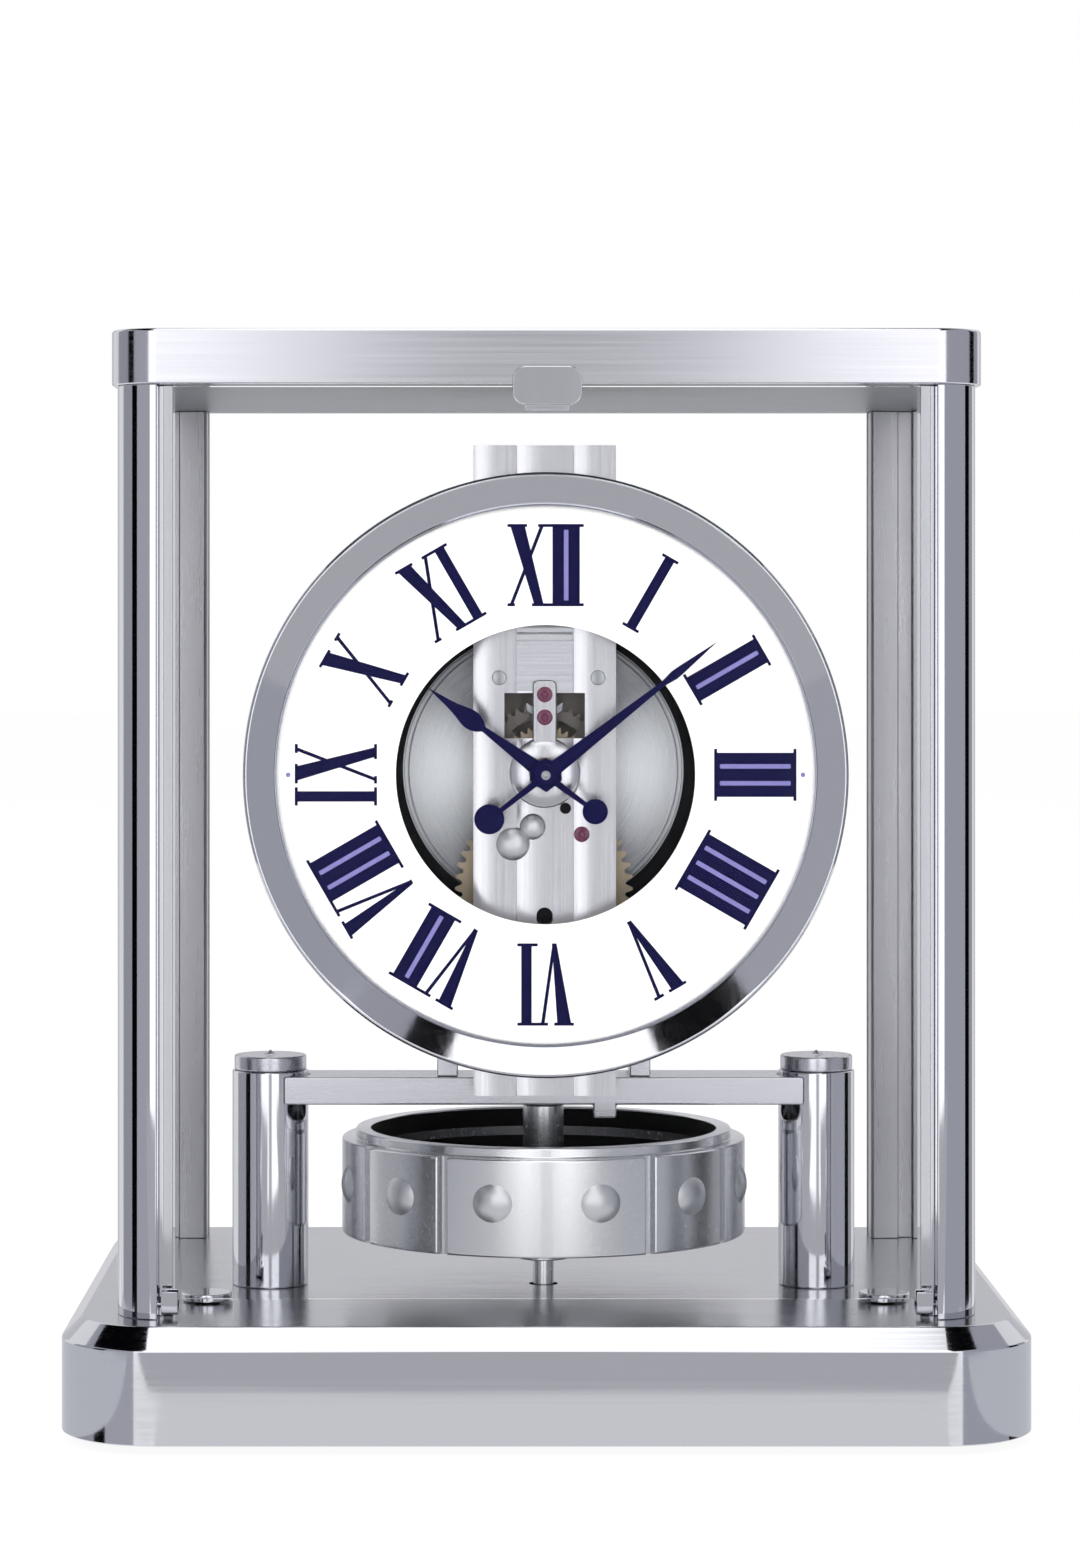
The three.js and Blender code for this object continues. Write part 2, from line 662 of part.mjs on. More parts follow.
// Front plate: three upright bands with a window for the escapement.
function makeMovementPlate() {
  const middleY = plateFrontY + plateStep;
  const section = [
    [-plateHalf, plateBackY], [-plateHalf, plateFrontY + 0.5], [-plateHalf + 0.5, plateFrontY],
    [-plateMiddleHalf, plateFrontY], [-plateMiddleHalf + plateStep / 2, middleY],
    [plateMiddleHalf - plateStep / 2, middleY], [plateMiddleHalf, plateFrontY],
    [plateHalf - 0.5, plateFrontY], [plateHalf, plateFrontY + 0.5], [plateHalf, plateBackY],
  ];
  const plate = upright(section, plateBottomZ, plateTopZ - plateBottomZ);
  const studEnd = plateBackY + minuteLayer + wheelSheet + 0.3;
  const stud = turnedFacing(rodProfile(arborRadius, plateBackY - 0.5, studEnd), pinSides)
    .translate(0, 0, dialZ - minuteDrop);
  addPiece('movement_plate', shaped(plate, {
    joins: [stud],
    cuts: [
      box(-windowHalf, windowHalf, plateFrontY - 1, plateBackY + 1, dialZ + windowLow, dialZ + windowHigh),
      drill(0, escapeRise, 2 * fineArborRadius, pinSides),
      drill(0, -barrelDrop, barrelArborRadius + pivotFit, pinSides),
      drill(0, setHole, setHoleRadius, pinSides),
    ],
  }), 'satin');
}

// Back plate of the train, with its four pillars and the block that stands on the bar.
function makeTrainPlate() {
  const plate = box(-plateHalf, plateHalf, trainBackY, trainBackY + trainSheet, barTop, dialZ + trainTop);
  const block = box(-plateHalf, plateHalf, plateBackY, trainBackY + 0.5, barTop, barTop + movementFootHeight);
  const joins = [block];
  for (const x of [-trainPillarX, trainPillarX]) {
    for (const z of [barTop + trainPillarLow, dialZ + trainPillarHigh]) {
      const pillar = turnedFacing(rodProfile(trainPillarRadius, plateBackY, trainBackY + 0.5), pinSides);
      joins.push(pillar.translate(x, 0, z));
    }
  }
  addPiece('train_plate', shaped(plate, { joins }), 'satin');
}

// Keyhole-shaped cock in front of the plate: a disc round the hands' arbor, and a stem up over the window.
function makeCock() {
  const side = THREE.MathUtils.radToDeg(Math.asin(cockStemHalf / cockRadius));
  const outline = [
    ...arc(0, 0, cockRadius, 90 + side, 450 - side, rodSides),
    [cockStemHalf, cockReach - 1], [cockStemHalf - 1, cockReach], [1 - cockStemHalf, cockReach],
    [-cockStemHalf, cockReach - 1],
  ];
  const bore = circle(0, 0, hourPipeRadius + pivotFit, pinSides);
  addPiece('escapement_cock', facing(outline, plateFrontY - cockSheet, cockSheet, [bore]), 'plated', [0, 0, dialZ]);
}

// Outline of an involute spur gear. The first tooth points along startAngle.
function gearOutline(teeth, module, startAngle, flankSteps) {
  const pitch = (module * teeth) / 2;
  const base = pitch * Math.cos(pressureAngle);
  const tip = pitch + addendum * module;
  const root = pitch - dedendum * module;
  const involute = (angle) => Math.tan(angle) - angle;
  const pitchHalf = Math.PI / (2 * teeth) - (toothThinning * module) / (2 * pitch);
  const halfAt = (radius) => {
    const reach = Math.max(radius, base);
    return pitchHalf + involute(pressureAngle) - involute(Math.acos(base / reach));
  };
  const flank = [];
  for (let i = 0; i <= flankSteps; i += 1) flank.push(root + ((tip - root) * i) / flankSteps);
  const points = [];
  for (let tooth = 0; tooth < teeth; tooth += 1) {
    const middle = startAngle + (2 * Math.PI * tooth) / teeth;
    for (const radius of flank) {
      const angle = middle - halfAt(radius);
      points.push([radius * Math.cos(angle), radius * Math.sin(angle)]);
    }
    for (const radius of [...flank].reverse()) {
      const angle = middle + halfAt(radius);
      points.push([radius * Math.cos(angle), radius * Math.sin(angle)]);
    }
  }
  return points;
}

// Crossings: the openings between a wheel's arms.
function crossings(count, inner, outer, armHalf) {
  const holes = [];
  for (let i = 0; i < count; i += 1) {
    const middle = (360 * i) / count;
    const halfSpan = 180 / count;
    const outerTrim = THREE.MathUtils.radToDeg(armHalf / outer);
    const innerTrim = THREE.MathUtils.radToDeg(armHalf / inner);
    holes.push([
      ...arc(0, 0, outer, middle - halfSpan + outerTrim, middle + halfSpan - outerTrim, 4),
      ...arc(0, 0, inner, middle + halfSpan - innerTrim, middle - halfSpan + innerTrim, 1),
    ]);
  }
  return holes;
}

// Where two gears mesh, one has a tooth on the line of centres and the other a space.
const up = Math.PI / 2;
const down = -Math.PI / 2;
const spaceTowards = (direction, teeth) => direction + Math.PI / teeth;

function makeCentreTrain() {
  const layer = (depth) => plateBackY + depth;
  const pinion = facing(gearOutline(centrePinionTeeth, barrelModule, down, 2), layer(barrelLayer), barrelSheet);
  const arborFront = minuteHandY - 0.6;
  const arbor = turnedFacing(rodProfile(arborRadius, arborFront, trainBackY - pivotFit), pinSides);
  addPiece('centre_arbor', shaped(arbor, { joins: [pinion] }), 'steel', [0, 0, dialZ]);

  const bore = circle(0, 0, arborRadius + fit, pinSides);
  addPiece('centre_wheel', facing(gearOutline(centreTeeth, escapeModule, up, 1), layer(centreLayer), wheelSheet,
    [bore, ...crossings(4, 4.5, 11.5, 1.2)]), 'brass', [0, 0, dialZ]);
  addPiece('cannon_pinion', facing(gearOutline(cannonTeeth, cannonModule, down, 2), layer(minuteLayer), wheelSheet,
    [bore]), 'steel', [0, 0, dialZ]);

  // Hour wheel with its pipe, which carries the hour hand.
  const wheel = facing(gearOutline(hourTeeth, hourModule, down, 1), layer(hourLayer), wheelSheet, [bore]);
  const pipeFront = hourHandY + handSheet;
  const pipeWall = ringProfile(arborRadius + fit, hourPipeRadius, pipeFront, layer(hourLayer) + 0.5);
  const pipe = turnedFacing(pipeWall, pinSides);
  addPiece('hour_wheel', shaped(wheel, { joins: [pipe] }), 'brass', [0, 0, dialZ]);

  // Minute wheel with its pinion, on the stud below.
  const studBore = circle(0, 0, arborRadius + pivotFit, pinSides);
  const minuteWheel = facing(gearOutline(minuteTeeth, cannonModule, spaceTowards(up, minuteTeeth), 1),
    layer(minuteLayer), wheelSheet, [studBore]);
  const minutePinion = facing(
    gearOutline(minutePinionTeeth, hourModule, spaceTowards(up, minutePinionTeeth), 2),
    layer(hourLayer), minuteLayer - hourLayer + 0.5, [studBore]);
  addPiece('minute_wheel', shaped(minuteWheel, { joins: [minutePinion] }), 'brass', [0, 0, dialZ - minuteDrop]);

  // Barrel: toothed flange, spring drum behind it, and arbor.
  const flange = facing(gearOutline(barrelTeeth, barrelModule, spaceTowards(up, barrelTeeth), 1),
    layer(barrelLayer), barrelSheet);
  const drum = turnedFacing(rodProfile(barrelDrumRadius, layer(barrelLayer) + barrelSheet / 2,
    layer(barrelLayer) + barrelSheet + barrelDrumDepth), rodSides);
  const barrelArbor = turnedFacing(rodProfile(barrelArborRadius, plateFrontY + 1, trainBackY - pivotFit), pinSides);
  addPiece('barrel_wheel', shaped(flange, { joins: [drum, barrelArbor] }), 'brass', [0, 0, dialZ - barrelDrop]);

  // Escape wheel and its pinion on one arbor, and the anchor that locks it.
  const escapeOutline = [];
  for (let tooth = 0; tooth < escapeTeeth; tooth += 1) {
    const angle = (360 / escapeTeeth) * tooth;
    escapeOutline.push(...arc(0, 0, escapeRoot, angle - 10, angle - 10, 1).slice(1));
    escapeOutline.push(...arc(0, 0, escapeTip, angle, angle, 1).slice(1));
    escapeOutline.push(...arc(0, 0, escapeRoot, angle + 5, angle + 5, 1).slice(1));
  }
  const cockBack = plateFrontY + pivotFit;
  const escapeWheel = facing(escapeOutline, layer(escapeLayer), wheelSheet);
  const escapePinion = facing(
    gearOutline(escapePinionTeeth, escapeModule, spaceTowards(down, escapePinionTeeth), 2),
    layer(centreLayer), wheelSheet);
  const escapeArbor = turnedFacing(rodProfile(fineArborRadius, cockBack, trainBackY - pivotFit), pinSides);
  addPiece('escape_wheel', shaped(escapeWheel, { joins: [escapePinion, escapeArbor] }), 'brass',
    [0, 0, dialZ + escapeRise]);

  const stone = escapeTip + palletClearance;
  const reach = stone * Math.SQRT1_2;
  const rise = escapeRise - palletRise - reach;
  const anchor = [
    [0, -1.2], [1.1, -0.6], [reach + 1.1, rise - 1.2], [reach + 1.3, rise + 0.5], [reach + 0.3, rise - 0.1],
    [1, 1], [-1, 1], [-reach - 0.3, rise - 0.1], [-reach - 1.3, rise + 0.5], [-reach - 1.1, rise - 1.2],
    [-1.1, -0.6],
  ];
  const palletArbor = turnedFacing(rodProfile(fineArborRadius, cockBack, layer(centreLayer) - 0.4), pinSides);
  addPiece('pallet_anchor', shaped(facing(anchor, layer(escapeLayer), wheelSheet), { joins: [palletArbor] }), 'steel',
    [0, 0, dialZ + palletRise]);
}

// A hand drawn along +Z, then turned to its time: disc on the tail, square boss, tapering arm and head.
function handOutline({ tail, disc, head }) {
  const tailJoin = THREE.MathUtils.radToDeg(Math.asin(handWaistHalf / disc));
  const boss = [[collarHalf, -collarHalf * 0.7], [collarHalf, collarHalf * 0.7], [handRootHalf, collarHalf]];
  const right = [
    [handWaistHalf + 0.2, -collarHalf],
    ...boss,
    ...head,
  ];
  const left = [...right].reverse().map(([x, z]) => [-x, z]).filter(([x]) => x !== 0);
  const tailDisc = arc(0, -tail, disc, 90 + tailJoin, 450 - tailJoin, rodSides);
  return [...tailDisc, ...right, ...left];
}

function addHand(name, outline, angle, frontY, boreRadius) {
  const hand = facing(outline, frontY, handSheet, [circle(0, 0, boreRadius, pinSides)]);
  hand.rotateY(THREE.MathUtils.degToRad(angle));
  addPiece(name, hand, 'blued', [0, 0, dialZ]);
}

function makeHands() {
  const minuteHead = [[handWaistHalf, minuteHeadFrom], [minuteHeadHalf, minuteHeadFrom + 2.2], [0, minuteReach]];
  addHand('minute_hand', handOutline({ tail: minuteTail, disc: minuteDisc, head: minuteHead }), minuteAngle,
    minuteHandY, arborRadius + fit);
  const hourHead = [
    [handWaistHalf, spadeAt - 3.2], [spadeHalf * 0.75, spadeAt - 2.1], [spadeHalf, spadeAt - 0.6],
    [spadeHalf * 0.8, spadeAt + 1.4], [spadeHalf * 0.36, spadeAt + 5.2], [0, hourReach],
  ];
  addHand('hour_hand', handOutline({ tail: hourTail, disc: hourDisc, head: hourHead }), hourAngle,
    hourHandY, arborRadius + fit);
}

function makeDial() {
  const back = dialFrontY + dialSheet;
  const ring = turnedFacing(ringProfile(dialHole, dialRadius, dialFrontY, back), broadSides);
  const joins = [];
  for (const x of [-dialFootX, dialFootX]) {
    for (const z of [-dialFootZ, dialFootZ]) {
      joins.push(turnedFacing(rodProfile(dialFootRadius, back - 0.5, plateFrontY), pinSides).translate(x, 0, z));
    }
  }
  addPiece('dial_ring', shaped(ring, { joins }), 'dial', [0, 0, dialZ]);

  const lip = dialRadius - bezelLip;
  const seat = dialRadius + fit;
  const lipBack = dialFrontY - fit;
  const crown = dialFrontY - bezelRise;
  const skirt = dialFrontY + bezelDepth;
  const middle = (lip + bezelRadius) / 2;
  const profile = [
    [lip, lipBack - 0.5], [lip + 1.1, crown + 0.9], [middle, crown], [bezelRadius - 1.1, crown + 1.1],
    [bezelRadius, crown + 3.2], [bezelRadius, skirt], [seat, skirt], [seat, lipBack], [lip, lipBack],
    [lip, lipBack - 0.5],
  ];
  addPiece('bezel', turnedFacing(profile, broadSides), 'plated', [0, 0, dialZ]);
}

function makeDrum() {
  const inner = drumRadius - drumWall;
  const faceBack = drumFaceY + drumFaceWall;
  const shoulderBack = drumShoulderY + drumWall;
  const grooveFloor = drumFaceY + drumGrooveDepth;
  const profile = [
    [0, drumFaceY], [drumGroove, drumFaceY], [drumGroove, grooveFloor],
    [drumGroove + drumGrooveWidth, grooveFloor], [drumGroove + drumGrooveWidth, drumFaceY],
    [drumFaceRadius, drumFaceY], [drumFaceRadius, drumShoulderY], [drumRadius, drumShoulderY],
    [drumRadius, drumBackY], [inner, drumBackY], [inner, shoulderBack],
    [drumFaceRadius - drumWall, shoulderBack], [drumFaceRadius - drumWall, faceBack], [0, faceBack],
  ];
  const shell = turnedFacing(profile, drumSides).translate(0, 0, dialZ);
  const wallMiddle = drumRadius - drumWall / 2;
  const footTop = dialZ - Math.sqrt(wallMiddle ** 2 - drumFootX ** 2);
  const front = standY - drumFootFront;
  const rear = standY + drumFootBack;
  const foot = [
    [front, barTop], [rear, barTop], [rear, footTop], [drumShoulderY + 0.5, footTop],
    [drumShoulderY + 0.5, barTop + drumFootRise], [front + 4, barTop + drumFootRise],
    [front, barTop + drumFootRise - 6],
  ];
  const joins = [-drumFootX, drumFootX].map((x) => sideways(foot, x - drumFootWidth / 2, drumFootWidth));
  addPiece('drum_housing', shaped(shell, { joins }), 'satin');

  const lid = [[0, drumBackY - drumWall], [inner - fit, drumBackY - drumWall], [inner - fit, drumBackY],
    [0, drumBackY]];
  addPiece('drum_lid', turnedFacing(lid, drumSides), 'satin', [0, 0, dialZ]);

  const bellowsFront = shoulderBack + fit;
  const fold = bellowsLength / bellowsFolds;
  const skin = [[0, bellowsFront], [bellowsRootRadius, bellowsFront]];
  for (let i = 0; i < bellowsFolds; i += 1) {
    skin.push([bellowsRadius, bellowsFront + fold * (i + 0.5)]);
    skin.push([bellowsRootRadius, bellowsFront + fold * (i + 1)]);
  }
  skin.push([0, bellowsFront + bellowsLength]);
  addPiece('bellows', turnedFacing(skin, drumSides - 4), 'brass', [0, 0, dialZ]);
  const plateY = bellowsFront + bellowsLength + fit;
  const plateDisc = rodProfile(pressurePlateRadius, plateY, plateY + pressurePlateSheet);
  addPiece('bellows_plate', turnedFacing(plateDisc, drumSides - 4),
    'steel', [0, 0, dialZ]);
}

function makeSuspension() {
  const top = plateTopZ - bracketDrop;
  const arm = box(-bracketHalf, bracketHalf, plateBackY, standY + bracketReach, top - bracketHeight, top);
  const bore = turnedUpright(rodProfile(wireRadius + pivotFit, top - bracketHeight - 1, top + 1), pinSides)
    .translate(0, standY, 0);
  addPiece('suspension_bracket', shaped(arm, { cuts: [bore] }), 'brass');
  const wire = [[0, barBottom - 0.1], [wireRadius, barBottom - 0.1], [wireRadius, top + fit], [wireHead, top + fit],
    [wireHead, top + wireHeadHeight], [0, top + wireHeadHeight]];
  addPiece('suspension_wire', turnedUpright(wire, pinSides - 4), 'steel', [0, standY, 0]);
}

// Balance ring: twelve pads between upright grooves, a thinner rim above, a lip inside the foot.
function makeBalanceRing() {
  const outline = [];
  const halfGroove = THREE.MathUtils.radToDeg(padGroove / 2 / balanceRadius);
  const pitch = 360 / padCount;
  for (let pad = 0; pad < padCount; pad += 1) {
    const from = pad * pitch;
    if (pad % padsPerQuarter !== 0) {
      outline.push(...arc(0, 0, balanceRadius - padGrooveDepth, from - halfGroove, from + halfGroove, 1));
    }
    outline.push(...arc(0, 0, balanceRadius, from + halfGroove, from + pitch / 2 - padFlat, 1));
    outline.push(...arc(0, 0, balanceRadius, from + pitch / 2 + padFlat, from + pitch - halfGroove, 1));
  }
  const inner = circle(0, 0, balanceInner, balanceSides);
  const pads = upright(outline, balanceZ, padHeight, [inner]);
  const rim = turnedUpright(ringProfile(balanceInner, balanceRimRadius, balanceZ + padHeight - 1,
    balanceZ + padHeight + rimHeight), balanceSides);
  const lip = turnedUpright(ringProfile(balanceInner - balanceLip, balanceInner + 1, balanceZ,
    balanceZ + balanceLipSheet), balanceSides);
  const cuts = [];
  for (let pad = 0; pad < padCount; pad += 1) {
    const seatDepth = balanceRadius - weightSeat;
    const seat = turnedFacing(rodProfile(weightRadius + fit, seatDepth, balanceRadius + 2), weightSides);
    const hole = turnedFacing(rodProfile(weightShank + pivotFit, balanceInner - 1, seatDepth + 0.1), weightSides);
    cuts.push(atPad(seat, pad), atPad(hole, pad));
  }
  addPiece('balance_ring', shaped(pads, { joins: [rim, lip], cuts }), 'plated', [0, standY, 0]);
}

// Turns a piece drawn outward along +Y to the middle of a pad.
function atPad(geometry, pad) {
  const angle = (2 * Math.PI * (pad + 0.5)) / padCount;
  return geometry.rotateZ(angle - Math.PI / 2).translate(0, 0, balanceZ + weightRise);
}

function makeWeights() {
  const seat = balanceRadius - weightSeat + fit;
  const profile = [
    [0, seat - weightShankLength], [weightShank, seat - weightShankLength], [weightShank, seat],
    [weightRadius, seat], [weightRadius, seat + weightSide], [weightRadius * 0.66, seat + weightHead * 0.84],
    [0, seat + weightHead],
  ];
  for (let pad = 0; pad < padCount; pad += 1) {
    addPiece(`balance_weight_${pad + 1}`, atPad(turnedFacing(profile, weightSides), pad), 'plated', [0, standY, 0]);
  }
}

// Staff with its spider: four arms that rest on the ring's lip, a hub above and a collar below.
function makeBalanceStaff() {
  const armLow = balanceZ + balanceLipSheet;
  const armHigh = armLow + spiderSheet;
  const reach = Math.sqrt((balanceInner - fit) ** 2 - spiderArmHalf ** 2);
  const outline = [];
  for (let arm = 0; arm < spiderArms; arm += 1) {
    const turn = (2 * Math.PI * (arm + 0.5)) / spiderArms;
    for (const [u, v] of [[spiderArmHalf, -spiderArmHalf], [reach, -spiderArmHalf], [reach, spiderArmHalf]]) {
      outline.push([u * Math.cos(turn) - v * Math.sin(turn), u * Math.sin(turn) + v * Math.cos(turn)]);
    }
  }
  const collarLow = plinthTop + collarRise;
  const hubTop = barBottom - 0.4;
  const staff = turnedUpright([
    [0, plinthTop + staffEnd], [staffRadius - 0.5, plinthTop + staffEnd], [staffRadius, plinthTop + staffEnd + 0.5],
    [staffRadius, collarLow], [collarRadius, collarLow], [collarRadius, collarLow + collarSheet],
    [hubRadius, collarLow + collarSheet + 1], [hubRadius, hubTop - 0.6], [hubRadius - 0.6, hubTop], [0, hubTop],
  ], rodSides);
  addPiece('balance_staff', shaped(upright(outline, armLow, armHigh - armLow), { joins: [staff] }), 'plated',
    [0, standY, 0]);
}

makePlinth();
makeBottomCover();
makeLevelScrews();
makeLock();
makePosts();
makeCap();
makePanes();
makeDoor();
makeStand();
makeMovementPlate();
makeTrainPlate();
makeCock();
makeCentreTrain();
makeHands();
makeDial();
makeDrum();
makeSuspension();
makeBalanceRing();
makeWeights();
makeBalanceStaff();

export default clock;
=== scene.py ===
import json
import math

import bmesh
import bpy
import numpy as np
from mathutils import Matrix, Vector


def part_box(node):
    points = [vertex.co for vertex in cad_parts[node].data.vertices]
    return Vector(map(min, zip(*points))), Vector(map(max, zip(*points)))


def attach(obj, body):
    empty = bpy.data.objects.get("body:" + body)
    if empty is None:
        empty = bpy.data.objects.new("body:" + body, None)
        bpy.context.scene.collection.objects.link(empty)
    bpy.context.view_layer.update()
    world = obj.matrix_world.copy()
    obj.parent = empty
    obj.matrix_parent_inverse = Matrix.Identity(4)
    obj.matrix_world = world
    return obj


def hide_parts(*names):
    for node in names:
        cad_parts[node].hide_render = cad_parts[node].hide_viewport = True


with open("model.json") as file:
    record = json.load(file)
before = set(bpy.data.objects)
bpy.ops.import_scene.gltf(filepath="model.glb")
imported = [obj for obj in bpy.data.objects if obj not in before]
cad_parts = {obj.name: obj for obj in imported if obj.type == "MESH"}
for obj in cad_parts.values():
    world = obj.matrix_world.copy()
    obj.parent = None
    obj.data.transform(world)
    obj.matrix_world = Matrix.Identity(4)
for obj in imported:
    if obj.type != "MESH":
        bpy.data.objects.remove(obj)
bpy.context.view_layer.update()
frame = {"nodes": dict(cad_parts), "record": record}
nodes = frame["nodes"]
mm = 0.001
print("frame loaded:", len(nodes), "nodes")

bodyOf = {node: body for body, members in frame["record"]["behaviour"]["bodies"].items() for node in members}


def nodeBox(name):
    # lowest and highest corner of a CAD node, in millimetres
    low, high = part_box(name)
    return np.array(low) / mm, np.array(high) / mm


def addObject(name, data):
    made = bpy.data.objects.new(name, data)
    bpy.context.scene.collection.objects.link(made)
    return made


def addMesh(name, points, faces):
    # a mesh object from points in millimetres
    mesh = bpy.data.meshes.new(name)
    mesh.from_pydata((np.array(points, float) * mm).tolist(), [], faces)
    return addObject(name, mesh)


def linear(hexColour):
    # sRGB to linear light: c / 12.92 in the dark end, ((c + 0.055) / 1.055) to the power 2.4 above it
    value = hexColour.lstrip("#")
    parts = [int(value[i:i + 2], 16) / 255 for i in (0, 2, 4)]
    return (*[c / 12.92 if c <= 0.04045 else ((c + 0.055) / 1.055) ** 2.4 for c in parts], 1.0)


def node(owner, kind, inputs=None, **settings):
    # adds one shader node, sets its properties, sets or links its inputs, and gives its outputs
    tree = owner.node_tree
    made = tree.nodes.new("ShaderNode" + kind)
    for key, value in settings.items():
        setattr(made, key, value)
    for key, value in (inputs or {}).items():
        if isinstance(value, bpy.types.NodeSocket):
            tree.links.new(value, made.inputs[key])
        else:
            made.inputs[key].default_value = value
    return made.outputs


def newMaterial(name):
    material = bpy.data.materials.new(name)
    material.use_nodes = True
    material.node_tree.nodes.clear()
    return material


def surfaced(material, surface):
    node(material, "OutputMaterial", {"Surface": surface})
    return material


def noise(owner, place, scale, detail, roughness=0.5):
    # fractal noise, with its scale in cycles per metre
    return node(owner, "TexNoise", {
        "Vector": place, "Scale": scale, "Detail": detail, "Roughness": roughness})[0]


def around(owner, value, middle, spread):
    # the noise's usual span, 0.3 to 0.7, laid over middle - spread to middle + spread
    return node(owner, "MapRange", {"Value": value, "From Min": 0.3, "From Max": 0.7,
                                    "To Min": max(middle - spread, 0.02), "To Max": middle + spread})[0]


def relief(owner, height, strength, depth):
    # a bump whose depth is in millimetres
    return node(owner, "Bump", {"Height": height, "Strength": strength, "Distance": depth * mm})[0]


def blend(owner, factor, first, second):
    # from one sRGB colour to another
    return node(owner, "Mix", {"Factor": factor, 6: linear(first), 7: linear(second)}, data_type="RGBA")[2]


def anyRay(owner, *kinds):
    # 1 on a ray of any of these kinds: the highest of their outputs
    rays = node(owner, "LightPath")
    seen = rays[f"Is {kinds[0]} Ray"]
    for kind in kinds[1:]:
        seen = node(owner, "Math", {0: seen, 1: rays[f"Is {kind} Ray"]}, operation="MAXIMUM")[0]
    return seen


def metal(name, colour, roughness, grain, spread=0.05, depth=0.01, marks=0.15):
    # plated or turned metal: grain gives cycles per metre along X, Y and Z, few along the brush
    material = newMaterial(name)
    place = node(material, "TexCoord")["Object"]
    stretched = node(material, "Mapping", {"Vector": place, "Scale": grain})[0]
    lines = noise(material, stretched, 1.0, 3.0, 0.6)
    mixed = node(material, "Mix", {"Factor": marks, 2: lines, 3: noise(material, place, 35.0, 2.0)})[0]
    shader = node(material, "BsdfPrincipled", {
        "Base Color": linear(colour), "Metallic": 1.0,
        "Roughness": around(material, mixed, roughness, spread),
        "Normal": relief(material, lines, 0.35, depth)})[0]
    return surfaced(material, shader)


def enamel(name, colour, second, roughness, speck, coat=0.0, gloss=0.3):
    # lacquer or enamel: two close tones in a fine cloud, and a faint orange peel
    material = newMaterial(name)
    cloud = noise(material, node(material, "TexCoord")["Object"], speck, 4.0)
    shader = node(material, "BsdfPrincipled", {
        "Base Color": blend(material, cloud, colour, second), "Roughness": roughness,
        "Specular IOR Level": gloss, "Normal": relief(material, cloud, 0.1, 0.004),
        "Coat Weight": coat, "Coat Roughness": 0.08})[0]
    return surfaced(material, shader)


def turnedMetal(name, colour, bright, roughness, anisotropy):
    # metal faced in a lathe: rings that follow the piece's own UV map, and a painted highlight, a tone that
    # goes with the squared cosine of the turn
    material = newMaterial(name)
    turn = node(material, "UVMap", uv_map="turned")[0]
    rings = node(material, "Mapping", {"Vector": turn, "Scale": (6.0, 900.0, 1.0)})[0]
    lines = noise(material, rings, 1.0, 3.0)
    tangent = node(material, "Tangent", direction_type="UV_MAP", uv_map="turned")[0]
    # painted highlight: the base colour brightens in sectors, by the squared cosine of the turn
    share = node(material, "SeparateXYZ", {"Vector": turn})[0]
    share = node(material, "Math", {0: share, 1: 2 * math.pi}, operation="MULTIPLY")[0]
    across = node(material, "Math", {0: share}, operation="COSINE")[0]
    paintedFan = node(material, "Math", {0: across, 1: across}, operation="MULTIPLY")[0]
    paintedFan = node(material, "MapRange", {"Value": paintedFan, "From Min": 0.55, "From Max": 1.0})[0]
    shader = node(material, "BsdfPrincipled", {
        "Base Color": blend(material, paintedFan, colour, bright), "Metallic": 1.0,
        "Roughness": around(material, lines, roughness, 0.05), "Anisotropic": anisotropy,
        "Anisotropic Rotation": 0.25, "Tangent": tangent, "Normal": relief(material, lines, 0.1, 0.001)})[0]
    return surfaced(material, shader)


def floatGlass(name, colour):
    # float glass with an anti-glare face; shadow, gloss and diffuse rays pass straight through it
    material = newMaterial(name)
    ripple = noise(material, node(material, "TexCoord")["Object"], 18.0, 1.0)
    glass = node(material, "BsdfPrincipled", {
        "Base Color": linear(colour), "Roughness": 0.0, "IOR": 1.13, "Transmission Weight": 1.0,
        "Normal": relief(material, ripple, 0.02, 0.02)})[0]
    clear = node(material, "BsdfTransparent", {"Color": linear(colour)})[0]
    straight = anyRay(material, "Shadow", "Glossy", "Diffuse")
    return surfaced(material, node(material, "MixShader", {0: straight, 1: glass, 2: clear})[0])


